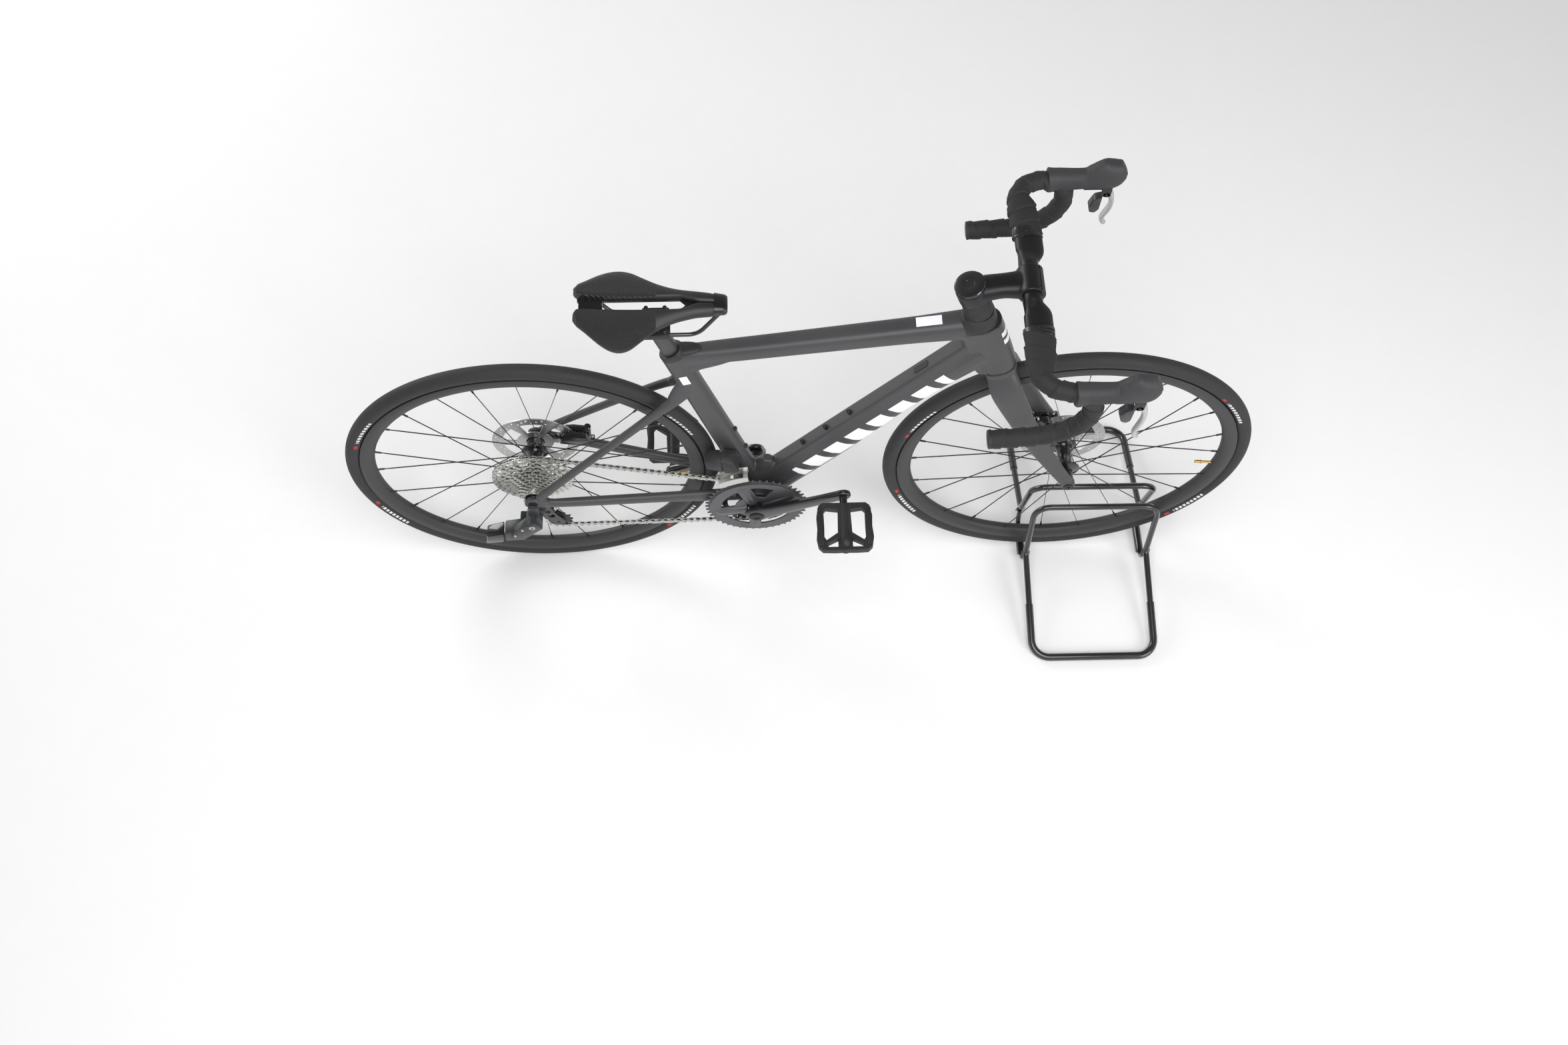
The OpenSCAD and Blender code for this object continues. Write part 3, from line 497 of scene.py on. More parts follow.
# Nickel-plated chain steel: warm silver with grease in it
nickel = finish("nickel_plated_steel", "#d2d2ce", "#b2b2ad", (0.28, 0.42), 1.6, 0.01, spread=0.4,
                Metallic=0.85)
# Blackened spoke steel
spoke_black = finish("black_spoke_steel", "#2c2c2e", "#222224", (0.3, 0.4), 0.8, 0.005, Metallic=0.5)
# Hardened screws, black oxide
screw = finish("black_oxide_steel", "#3a3a3c", "#2a2a2c", (0.3, 0.42), 0.8, 0.01, Metallic=0.7)
# Dark grey anodised chainring plate, machined: satin metallic
ring_grey = finish("dark_grey_anodised_ring", "#5c5c5f", "#4c4c4e", (0.3, 0.4), 0.5, 0.01, Metallic=0.6)
# Brass valve
brass = finish("turned_brass", "#c2a262", "#a88a4e", (0.25, 0.35), 0.6, 0.005, Metallic=0.95)
# Synthetic leather over foam on the saddle
saddle_skin = finish("saddle_leathercloth", "#1c1c1e", "#151517", (0.42, 0.54), 0.7, 0.04)
saddle_gloss = finish("saddle_gloss_insert", "#1c1c1e", "#151517", (0.16, 0.24), 1.0, 0.01)
# White printed label, semi-gloss paper
label = finish("paper_label", "#f1f1f6", "#e6e6ee", (0.4, 0.5), 2.0, 0.01)


def stripe_mask(tree, value, centre, half, soft):
    """1 where value lies within half of centre, falling off over soft."""
    off = add(tree, "Math", {0: value, 1: centre}, operation="SUBTRACT")
    far = add(tree, "Math", {0: off.outputs[0]}, operation="ABSOLUTE")
    return add(tree, "MapRange",
               {"Value": far.outputs[0], "From Min": half + soft, "From Max": half}).outputs[0]


def along_axis(tree, where, origin, direction):
    """Distance along a direction from an origin, both in bicycle millimetres, in metres."""
    at = BIKE @ V(origin)
    heading = (BIKE.to_3x3() @ V(direction)).normalized()
    off = add(tree, "VectorMath", {0: where, 1: tuple(at)}, operation="SUBTRACT")
    return add(tree, "VectorMath", {0: off.outputs[0], 1: tuple(heading)},
               operation="DOT_PRODUCT").outputs["Value"]


def multiply(tree, a, b):
    return add(tree, "Math", {0: a, 1: b}, operation="MULTIPLY").outputs[0]


DOWN_START = V((426.2, 0, -72.5))
DOWN_END = V((775, 0, 366))
DOWN_U = (DOWN_END - DOWN_START).normalized()
DOWN_N = V((-DOWN_U.z, 0, DOWN_U.x))


def paint_frame():
    """Plain white slanted blocks along both sides of the down tube, and two bars on the head tube."""
    tree, bsdf, where, colour = parts_of(carbon)
    s = along_axis(tree, where, DOWN_START, DOWN_U)
    n = along_axis(tree, where, DOWN_START, DOWN_N)
    y = along_axis(tree, where, (0, 0, 0), (0, 1, 0))
    side = add(tree, "Math", {0: y}, operation="ABSOLUTE").outputs[0]
    on_side = add(tree, "MapRange", {"Value": side, "From Min": 0.0135, "From Max": 0.0142}).outputs[0]
    lean = add(tree, "Math", {0: n, 1: 0.35, 2: s}, operation="MULTIPLY_ADD").outputs[0]
    cell = add(tree, "Math", {0: lean, 1: 0.058}, operation="MODULO").outputs[0]
    block_mask = stripe_mask(tree, cell, 0.029, 0.0195, 0.0004)
    band = stripe_mask(tree, n, -0.006, 0.017, 0.0004)
    reach = stripe_mask(tree, s, 0.292, 0.2, 0.0004)
    mask = multiply(tree, multiply(tree, block_mask, band), multiply(tree, reach, on_side))
    up = along_axis(tree, where, steer(0), STEER_U + V((0, 0.3, 0)))
    ahead = stripe_mask(tree, along_axis(tree, where, steer(0), STEER_N), 0.034, 0.02, 0.0004)
    bars = add(tree, "Math", {0: stripe_mask(tree, up, 0.42, 0.0055, 0.0004),
                              1: stripe_mask(tree, up, 0.439, 0.0055, 0.0004)}, operation="ADD").outputs[0]
    bars = multiply(tree, multiply(tree, bars, ahead), stripe_mask(tree, y, -0.004, 0.014, 0.0004))
    mask = add(tree, "Math", {0: mask, 1: bars}, operation="MAXIMUM").outputs[0]
    white = add(tree, "Mix", {0: mask, 6: colour, 7: linear("#f2f2f3")}, data_type="RGBA")
    tree.links.new(white.outputs[2], bsdf.inputs["Base Color"])


paint_frame()


def paint_tyre(material, hub):
    """Short plain dashes on the sidewalls in white and red."""
    tree, bsdf, where, colour = parts_of(material)
    off = add(tree, "VectorMath", {0: where, 1: tuple(hub)}, operation="SUBTRACT")
    xyz = add(tree, "SeparateXYZ", {0: off.outputs[0]})
    angle = add(tree, "Math", {0: xyz.outputs["Z"], 1: xyz.outputs["X"]}, operation="ARCTAN2").outputs[0]
    flat = add(tree, "VectorMath", {0: off.outputs[0], 1: (1, 0, 1)}, operation="MULTIPLY")
    radius = add(tree, "VectorMath", {0: flat.outputs[0]}, operation="LENGTH").outputs["Value"]
    wall = stripe_mask(tree, radius, 0.3218, 0.0026, 0.0004)
    third = add(tree, "Math", {0: angle, 1: TAU / 3}, operation="MODULO").outputs[0]
    third = add(tree, "Math", {0: third}, operation="ABSOLUTE").outputs[0]
    dash = add(tree, "Math", {0: third, 1: 0.03}, operation="MODULO").outputs[0]
    dashes = multiply(tree, stripe_mask(tree, third, 0.55, 0.12, 0.001),
                      stripe_mask(tree, dash, 0.015, 0.009, 0.001))
    white = add(tree, "Mix", {0: multiply(tree, dashes, wall), 6: colour, 7: linear("#d8d8d8")},
                data_type="RGBA")
    spot = multiply(tree, stripe_mask(tree, third, 0.72, 0.016, 0.001), wall)
    red = add(tree, "Mix", {0: spot, 6: white.outputs[2], 7: linear("#b3262a")}, data_type="RGBA")
    tree.links.new(red.outputs[2], bsdf.inputs["Base Color"])


front_tread, rear_tread = tread, tread.copy()
paint_tyre(front_tread, front_hub_at)
paint_tyre(rear_tread, rear_hub_at)


def ribbed(material, origin, direction, pitch, depth, rows):
    """Adds fine straight ribs across a direction to a finish."""
    tree, bsdf, where, _ = parts_of(material)
    s = along_axis(tree, where, origin, direction)
    wave = add(tree, "Math", {0: multiply(tree, s, TAU / (pitch * MM))}, operation="SINE").outputs[0]
    height = wave
    for value, centre, half in rows:
        height = multiply(tree, height,
                          stripe_mask(tree, along_axis(tree, where, origin, value), centre * MM, half * MM,
                                      0.002))
    old = bsdf.inputs["Normal"].links[0].from_socket
    bump = add(tree, "Bump", {"Height": height, "Strength": 1.0, "Distance": depth * MM, "Normal": old})
    tree.links.new(bump.outputs[0], bsdf.inputs["Normal"])


# ---------- floor ----------
floor_white = finish("studio_floor", "#f6f6f6", "#f5f5f5", (0.75, 0.8), 40, 0.001)
floor_mesh = bpy.data.meshes.new("floor")
floor_mesh.from_pydata([(-9, -9, -0.0005), (9, -9, -0.0005), (9, 9, -0.0005), (-9, 9, -0.0005)], [],
                       [[0, 1, 2, 3]])
floor_mesh.materials.append(floor_white)
floor = bpy.data.objects.new("floor", floor_mesh)
bpy.context.scene.collection.objects.link(floor)


# ---------- frame ----------
def tube_rows(a, b, rows):
    """Rows of x, y, z, half width, half depth at shares of the way from a to b."""
    return [(*(a + (b - a) * t), w, d) for t, w, d in rows]


def keel():
    """Down tube: flat narrow top with a crease on each side, widest low down, keel rising toward the head."""
    rings = []
    for s, low, wide in ((-6, -30, 27), (40, -33, 24), (100, -35, 22), (191, -35, 22), (280, -29, 22),
                         (373, -22, 22), (460, -24, 22), (574, -34, 24)):
        half = [(0, 37), (6, 37), (12, 36.8), (14, 35.6), (15.4, 32.5), (17.6, 20), (wide - 1.4, 8),
                (wide, -5), (wide - 1.6, -5 + (low + 5) * 0.45), (wide - 6, -5 + (low + 5) * 0.78),
                (wide * 0.4, -5 + (low + 5) * 0.97), (0, low)]
        loop = half + [(-y, n) for y, n in half[-2:0:-1]]
        rings.append([DOWN_START + s * DOWN_U + n * DOWN_N + V((0, y, 0)) for y, n in loop])
    return skin(rings)


TOP_A, TOP_B = along_seat(443) + V((0, 0, 14)), V((768, 0, 442.5))
TOP_U = (TOP_B - TOP_A).normalized()


def monocoque():
    """Down tube, top tube, seat tube, head tube, bottom bracket shell and stays as one body."""
    down = keel()
    top = shaped(tube_rows(TOP_A, TOP_B, [(0, 15, 19), (0.15, 17, 18), (0.5, 18.5, 18.5), (0.8, 20, 20),
                                          (1, 23, 24)]), power=3, up=(0, 0, 1))
    seat = shaped([(*along_seat(0), 24, 24), (*along_seat(60), 21, 22), (*along_seat(150), 16, 23),
                   (*along_seat(300), 15.5, 22), (*along_seat(430), 16.5, 21),
                   (*along_seat(465), 16.8, 21)], power=2.6, up=SEAT_N)
    head = shaped([(*steer(366.5), 28.5, 30), (*steer(400), 25, 31), (*steer(450), 25, 31),
                   (*steer(491), 26.5, 30)], power=2.4, up=STEER_N)
    nose = shaped([(*steer(367, -22), 24, 20), (*steer(430, -24), 20, 22), (*steer(488, -26), 24, 20)],
                  power=2.4, up=STEER_N)
    shell = rod(BB, 30.5, 85, 2, 48)
    stays = []
    for s in (-1, 1):
        stays.append(shaped([(398, s * 20, -73, 12, 16), (372, s * 26, -70, 9, 17),
                             (320, s * 32.5, -62, 8, 15), (256, s * 40.2, -50, 8, 12),
                             (150, s * 55.5, -29, 8, 10.5), (60, s * 68, -12, 7.5, 9.5),
                             (10, s * 74.5, -3, 4.2, 11)], power=2.6))
        stays.append(shaped([(288, s * 10, 272, 7, 12), (268, s * 21, 254, 6.5, 11),
                             (230, s * 30, 222, 6.2, 9), (150, s * 46, 147, 6, 8), (70, s * 61.5, 71, 6, 8),
                             (12, s * 73, 13, 4.5, 9)], power=2.4, up=(-0.7, 0, 0.7)))
        stays.append(rod((0, s * 75, 0), 15, 7.2, 0.8, 32))
        stays.append(placed(block((34, 6.6, 20), 2), shift(12, s * 75, 0) @ turn(-8, "Y")))
    bridge = loft([(376, -24, -66), (376, 24, -66)], (10, 9), 16, 2.5)
    stays.append(shaped([(BB.x + 6, 0, -48, 22, 30), (BB.x + 17, 0, -16, 17, 30), (BB.x + 20, 0, 6, 13, 20),
                         (BB.x + 21, 0, 20, 8, 8)], power=2.4, up=(1, 0, 0)))
    stays.append(shaped([(292, 0, 322, 8, 8), (298, 0, 334, 12, 16), (312, 0, 346, 13, 16),
                         (344, 0, 356, 13, 12), (372, 0, 364, 10, 8)], power=2.4, up=(-0.6, 0, 1)))
    for s in (-1, 1):
        stays.append(shaped([(304, s * 6, 296, 6, 22), (286, s * 12, 276, 7, 20),
                             (268, s * 20, 254, 7, 13)], power=2.4, up=(-0.7, 0, 0.7)))
    return joined(down, top, seat, head, nose, shell, bridge, *stays)


carbon_frame = piece("carbon_frame", monocoque(), "frame", carbon,
                     ("frame_main", "frame_rear"), fuse=1.8, rounds=4)

# ---------- fork ----------
def fork_shape():
    crown = shaped([(*steer(CROWN - 2), 29, 30), (*steer(CROWN - 14), 29, 29),
                    (*steer(CROWN - 30), 27, 24)], step=4, power=2.6, up=STEER_N)
    parts = [crown, placed(barrel(14.3, 220, 0.5, 40), facing(steer(CROWN + 90), STEER_U))]
    for s in (-1, 1):
        parts.append(shaped([(*steer(CROWN - 12, 0, s * 13), 14, 26),
                             (*steer(CROWN - 34, 1, s * 26), 13, 27.5),
                             (*steer(CROWN - 58, 2, s * 34), 11, 27),
                             (*steer(CROWN - 110, 8, s * 40), 9.5, 24.5),
                             (*steer(220, 12, s * 45), 9, 21.5), (*steer(130, 26, s * 51), 8.5, 18),
                             (*steer(60, 40, s * 55.5), 8.2, 14.5), (*steer(14, 50, s * 58), 7.6, 12.4),
                             (*steer(-2, 51.5, s * 58), 7.4, 12)], power=2.5, up=STEER_N))
        parts.append(rod(FRONT + V((0, s * 58, 0)), 12.6, 15, 1.2, 32))
    return joined(*parts)


piece("carbon_fork", fork_shape(), "fork", plain_carbon, "fork", fuse=1.7, rounds=5)
seal = shaped([(*steer(CROWN - 3), 27, 28), (*steer(CROWN), 27.4, 28.4), (*steer(CROWN + 4), 27, 28)], 1,
              40, 2.4, STEER_N)
piece("crown_seal", seal, "frame", nylon, sharp=50)


# ---------- wheels ----------
def wheel(hub, rotor_y, left, right, end, body, name, rubber):
    """Tyre, rim, valve, spokes, nipples, hub and rotor about one axle."""
    at = BIKE @ crosswise(hub)
    centre_r, rim_in, h = TYRE_R - TYRE_HALF, 286.6, 12.5
    tyre = [(centre_r + TYRE_HALF * math.cos(a), TYRE_HALF * math.sin(a))
            for a in (math.radians(-152 + 304 * k / 30) for k in range(31))]
    inner = [(centre_r + 11.6 * math.cos(a), 11.6 * math.sin(a))
             for a in (math.radians(148 - 296 * k / 12) for k in range(13))]
    piece(f"{name}_tyre_casing", lathe(tyre + inner, 180, True), body, rubber,
          f"{name}_tyre", at, 60)
    rim = [(rim_in, -3.5), (rim_in + 0.8, -5.5), (rim_in + 4, -8.6), (rim_in + 10, -11.6),
           (rim_in + 16, -h), (rim_in + 25, -h + 0.4), (rim_in + 26.2, -h + 1.4), (rim_in + 26, -h + 3),
           (rim_in + 20, -h + 4)]
    rim += [(r, -y) for r, y in reversed(rim)]
    piece(f"{name}_rim_body", lathe(rim, 180, True), body, rim_black, f"{name}_rim", at,
          50)
    spokes, nipples = [], []
    for i in range(24):
        way = 1 if i // 2 % 2 == 0 else -1
        step = TAU / 24
        a, b = i * step + way * math.radians(52), i * step
        y0, y1 = (left if i % 2 == 0 else right) + way * 1.6, 3 if i % 2 == 0 else -3
        start, stop = V((21 * math.cos(a), y0, 21 * math.sin(a))), V(((rim_in + 1) * math.cos(b), y1,
                (rim_in + 1) * math.sin(b)))
        run = stop - start
        path = [start, start + run * 0.06, start + run * 0.1, start + run * 0.9, start + run * 0.94, stop]
        spokes.append(loft([hub + p for p in path],
                           [(1, 1), (1, 1), (0.55, 1.25), (0.55, 1.25), (1, 1), (1, 1)], 8,
                           up=(0.001, 1, 0)))
        nipples.append(loft([hub + start + run * 0.955, hub + start + run * 0.96, hub + stop],
                            [1.3, 1.9, 1.9], 8, up=(0, 1, 0.01)))
    piece(f"{name}_bladed_spokes", joined(*spokes), body, spoke_black, f"{name}_spokes")
    piece(f"{name}_nipples", joined(*nipples), body, screw)
    valve = joined(placed(barrel(3, 12, 0.4, 16), shift(0, 0, 6)),
                   placed(barrel(2.4, 24, 0.5, 16), shift(0, 0, 20)),
                   placed(barrel(3.6, 3, 0.4, 6), shift(0, 0, 12)))
    piece(f"{name}_valve", placed(valve, Matrix.Translation(hub) @ turn(97, "Y")
                                  @ shift(0, 0, rim_in - 33)), body, brass)
    flange = [(12, 0), (23.5, 0.4), (24.6, 1.2), (24.6, 2.4), (23.5, 3.2), (17, 4), (13.5, 9)]
    shell = [(6.1, -end), (10.5, -end), (11, 0.6 - end)]
    shell += [(11, right - 6), (13.5, right - 4.5), (23.5, right - 2), (24.6, right - 1), (24.6, right + 1),
              (23.5, right + 2), (16.5, right + 3.2), (13, right + 11)]
    shell += [(13, left - 11), (16.5, left - 3.2), (23.5, left - 2), (24.6, left - 1), (24.6, left + 1),
              (23.5, left + 2), (15.5, left + 4)]
    shell += [(15.5, rotor_y + 2.5), (14.5, rotor_y + 4), (11, rotor_y + 4.5), (11, end - 0.6), (10.5, end),
              (6.1, end)]
    piece(f"{name}_hub_shell", lathe(shell, 56, True), body, gloss, f"{name}_hub", at, 32)
    windows = [slot_hole(34, 61, a + 8, a + 50) for a in range(0, 360, 60)]
    small = [ring_of(2.1, 12, (70 + 4 * (k % 3 - 1)) * math.cos(TAU * k / 48), (70 + 4 * (k % 3 - 1))
                     * math.sin(TAU * k / 48)) for k in range(48)]
    disc = plate(ring_of(80, 144), 1.8, [ring_of(17, 48), *windows, *small], 0.2)
    piece(f"{name}_brake_rotor", placed(disc, shift(0, 0, rotor_y)), body, steel,
          f"{name}_rotor", at, 30)
    lock = plate([((19.5 if k % 2 else 17.8) * math.cos(TAU * k / 32), (19.5 if k % 2 else 17.8)
                   * math.sin(TAU * k / 32)) for k in range(32)], 3, [ring_of(12.5)], 0.4)
    piece(f"{name}_lock_ring", placed(lock, shift(0, 0, rotor_y + 2.4)), body, anodised,
          (), at, 30)


wheel(FRONT, 39.5, 22, -27, 49.7, "front_wheel", "front", front_tread)
wheel(V((0, 0, 0)), 56, 34, -16, 70.7, "rear_wheel", "rear", rear_tread)


# ---------- stand ----------
LEG_X = [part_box("stand_sleeves")[0].x / MM + 8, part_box("stand_sleeves")[1].x / MM - 8]
REACH, JOINT_Y, JOINT_Z, HOOP_Y, HOOP_Z, FOOT_R, LEG_R = 260, 50, 54, 22.5, 192, 7.5, 6


def foot_point(s, x, f):
    return V((x, s * (JOINT_Y + f * (REACH - JOINT_Y)), JOINT_Z + f * (FOOT_R - JOINT_Z)))


for side, s in (("left", 1), ("right", -1)):
    body = "stand" if s > 0 else "stand_right"
    x0, x1 = LEG_X
    hoop = bent([foot_point(s, x0, 0.5), (x0, s * JOINT_Y, JOINT_Z), (x0, s * HOOP_Y, HOOP_Z),
                 (x1, s * HOOP_Y, HOOP_Z), (x1, s * JOINT_Y, JOINT_Z), foot_point(s, x1, 0.5)],
                [14, 30, 30, 14])
    foot = bent([foot_point(s, x0, 0.5), foot_point(s, x0, 1), foot_point(s, x1, 1),
                 foot_point(s, x1, 0.5)], [34, 34])
    piece(f"hoop_tube_{side}", loft(hoop, LEG_R, 20, up=(0, 0.6, 0.8)), body, enamel,
          f"stand_hoop_{side}", ROW)
    piece(f"foot_tube_{side}", loft(foot, FOOT_R, 20, up=(0.05, 0.1, 1)), body, enamel,
          f"stand_foot_{side}", ROW)
    stubs, rivets = [], []
    for x in LEG_X:
        lug = V((x, s * (JOINT_Y + 2), JOINT_Z - 12))
        stubs.append(loft(bent([(x, s * 8, 8), (x, s * 41, 8), lug], [16]), [4.8] * 10 + [(4.4, 5.4)], 18,
                          up=(0.05, 0.1, 1)))
        stubs.append(placed(block((17, 3, 22), 1.4, 3), shift(x, s * (JOINT_Y + 1.5), JOINT_Z - 8)
                            @ turn(s * 14, "X")))
        rivets.append(placed(barrel(4.2, 3.4, 1.2, 20), shift(x, s * (JOINT_Y + 5), JOINT_Z - 8)
                             @ turn(90 + s * 14, "X")))
    piece(f"stub_tubes_{side}", joined(*stubs), body, enamel, f"stand_stubs_{side}", ROW)
    piece(f"leg_rivets_{side}", joined(*rivets), body, steel, (), ROW)


# ---------- cockpit ----------
def cover_shape():
    rows = []
    for d, back, w, deep in ((HEAD_TOP + 0.4, -7, 27, 37), (HEAD_TOP + 4, -7, 26.5, 36.5),
                             (HEAD_TOP + 12, -4, 25.4, 31), (HEAD_TOP + 21, -1, 24.2, 26),
                             (COVER_TOP, 0, 23.7, 23.9)):
        rows.append((*steer(d, back), w, deep))
    return shaped(rows, 3, 40, 2.2, STEER_N)


piece("headset_top_cover", cover_shape(), "frame", nylon, "headset_cover", sharp=30)
rings = []
for k in range(8):
    low = COVER_TOP + 0.4 + k * 4.8
    ring = [(14.4, 0), (22.6, 0), (23.4, 0.5), (23.7, 1.2), (23.7, 3.4), (23.4, 4.1), (22.6, 4.6),
            (14.4, 4.6)]
    rings.append(placed(lathe(ring, 56, True), facing(steer(low), STEER_U)))
piece("ridged_spacers", joined(*rings), "fork", nylon, "spacers", sharp=30)


def stem_shape():
    clamp = shaped([(*steer(SPACER_TOP + 0.5), 24, 24.6), (*steer(SPACER_TOP + 12), 25, 25.4),
                    (*steer(STEM_TOP - 6), 25.2, 25.6), (*steer(STEM_TOP - 0.5), 24.4, 25)], 3, 36, 2.2,
                   STEER_N)
    mid = (SPACER_TOP + STEM_TOP) / 2
    reach = shaped([(*steer(mid, 2), 22, 15), (*steer(mid, 24), 21, 15), (*steer(mid - 3, 48), 20, 14.6),
                    (*steer(mid - 8, 68), 22, 16), (*steer(mid - 11, 82), 25.5, 19)], 4, 32, 2.8, STEER_U)
    return joined(clamp, reach, rod(BAR, 21, 50, 1.5, 48))


def halved(shape, plane_at, normal):
    """The part of a closed shape on the side that normal points to, closed again."""
    bm = bmesh.new()
    made = [bm.verts.new(p) for p in shape[0]]
    for f in shape[1]:
        if len(set(f)) > 2:
            bm.faces.new([made[i] for i in f])
    bmesh.ops.remove_doubles(bm, verts=bm.verts[:], dist=0.002)
    cut = bmesh.ops.bisect_plane(bm, geom=bm.verts[:] + bm.edges[:] + bm.faces[:], plane_co=plane_at,
                                 plane_no=normal, clear_inner=True)
    bmesh.ops.holes_fill(bm, edges=[e for e in cut["geom_cut"] if isinstance(e, bmesh.types.BMEdge)])
    bm.verts.index_update()
    out = [v.co.copy() for v in bm.verts], [[v.index for v in f.verts] for f in bm.faces]
    bm.free()
    return out


SPLIT = math.radians(28.5)
SPLIT_N = V((math.cos(SPLIT), 0, -math.sin(SPLIT)))
piece("stem_body", stem_shape(), "fork", anodised, "stem", fuse=1.2, rounds=3)
piece("bar_faceplate", halved(rod(BAR, 21.8, 50.6, 2.2, 64), BAR + 4.6 * SPLIT_N, SPLIT_N), "fork", nylon,
      "faceplate", sharp=30)
cap = [(0, 0.4), (23.2, 0.4), (25, 0.9), (25.3, 2.4), (24.3, 4), (20, 4.9), (9, 5.3), (8, 5.1), (7.6, 4.4),
       (0, 4.2)]
piece("stem_top_cap", placed(lathe(cap, 56), facing(steer(STEM_TOP), STEER_U)), "fork", gloss,
      "top_cap", sharp=40)
heads = []
for d in (570, 584):
    for s in (-1, 1):
        heads.append(placed(lathe([(0, -3), (3.6, -3), (3.6, 0), (3.2, 0.5), (1.9, 0.5), (1.7, -1.6),
                                   (0, -1.6)], 20), facing(steer(d, -17, s * 14.8),
                                                           V((-0.55, s * 0.84, -0.17)))))
for sy in (-1, 1):
    for angle in (-72, 72):
        spot = BAR + V((0, sy * 17, 0)) + 19.5 * (Matrix.Rotation(math.radians(angle), 3, "Y") @ SPLIT_N)
        heads.append(placed(lathe([(0, -3), (3.5, -3), (3.5, 1.6), (3.1, 2.1), (1.9, 2.1), (1.7, 0),
                                   (0, 0)], 20), facing(spot, SPLIT_N)))
heads.append(placed(barrel(2.6, 6, 0.5, 20), facing(BAR + 22 * SPLIT_N, SPLIT_N)))
piece("stem_screws", joined(*heads), "fork", screw, "stem_bolts", sharp=30)

GRIP = 92


def hook(s):
    """The bar's centreline from the clamp to one end, from the middle of the clamp."""
    rows = [(4, GRIP, 0), (2.5, 122, 1), (0, 148, 2), (-2, 172, 2), (10, 190, 2), (28, 199, 2),
            (48, 202, 0), (66, 204, -7), (78, 204, -24), (82, 204, -48), (76, 204, -74), (60, 204, -98),
            (34, 204, -115), (0, 204, -124), (-66, 204, -130)]
    return [(BAR.x + x, s * y, BAR.z + z) for x, y, z in rows]


def bar_top():
    rows = []
    for y, x, z, w, h in ((-GRIP - 6, 4, 0, 20, 10), (-88, 5, 0.5, 22, 10), (-74, 5, 1, 22.3, 10),
                          (-60, 5, 1, 22, 10), (-51, 3, 0.5, 19, 11), (-42, 0.6, 0, 16, 13.6),
                          (-27, 0, 0, 15.9, 15.9)):
        rows.append((BAR.x + x, y, BAR.z + z, w, h))
    rows += [(r[0], -r[1], r[2], r[3], r[4]) for r in reversed(rows)]
    return shaped(rows, 3, 40, 2.1)


drops = [loft(smooth_path(hook(s), 8)[4:], 11.9, 24) for s in (-1, 1)]
piece("handlebar_tube", joined(bar_top(), *drops), "fork", anodised, "handlebar")


def wrap(s):
    """Tape wound round the bar: each turn overlaps the one before with a raised edge."""
    fine = smooth_path(hook(s), 1.2)
    pitch, run, rings = 27.0, 0.0, []
    spine = stations(fine, (0, 0, 1))
    for i, (p, across, high) in enumerate(spine):
        run += (p - spine[i - 1][0]).length if i else 0
        share = min(1.0, max(0.0, (run - 48) / 44))
        wide = 1.58 - 0.58 * share * share * (3 - 2 * share)
        ring = []
        for k in range(40):
            a = TAU * k / 40
            turn_at = (run / pitch + s * k / 40) % 1.0
            lap = 1.4 - 2.5 * turn_at if turn_at > 0.04 else -1.1 + 2.5 * turn_at / 0.04
            wrinkle = 0.16 * math.sin(5 * a + run * 0.9) + 0.12 * math.sin(11 * a - run * 0.37)
            r = 15.2 + 0.75 * lap + wrinkle
            ring.append(p + across * (r * wide * math.cos(a)) + high
                        * (r * (1 - 0.17 * (wide - 1) / 0.58) * math.sin(a)))
        rings.append(ring)
    return skin(rings)


piece("bar_tape_wraps", joined(wrap(1), wrap(-1)), "fork", tape_skin, "bar_tape", sharp=70)
bands, plugs = [], []
for s in (-1, 1):
    for k, y in enumerate((GRIP - 3, GRIP + 3, GRIP + 8)):
        x = BAR.x + 4
        bands.append(loft([(x + 0.6 * k, s * (y - 3), BAR.z), (x, s * (y - 2.2), BAR.z),
                           (x, s * (y + 2.6), BAR.z), (x, s * (y + 3), BAR.z)],
                          [(22.6, 11.6), (24.6 - 0.4 * k, 13.4), (24.4 - 0.4 * k, 13.6), (23.4, 12.8)], 40,
                          up=(0.06 * (k - 1), 0.1 * k, 1)))
    end = V(hook(s)[-1])
    plugs.append(placed(lathe([(0, -6), (12, -6), (15.4, 0.2), (15.6, 2), (14.8, 3.6), (11, 4.4), (0, 4.7)],
                              32), facing(end, end - V(hook(s)[-2]))))
piece("finishing_tape", joined(*bands), "fork", vinyl, sharp=25)
piece("bar_end_plugs", joined(*plugs), "fork", nylon, sharp=30)


HOOD_POWER = 2.4


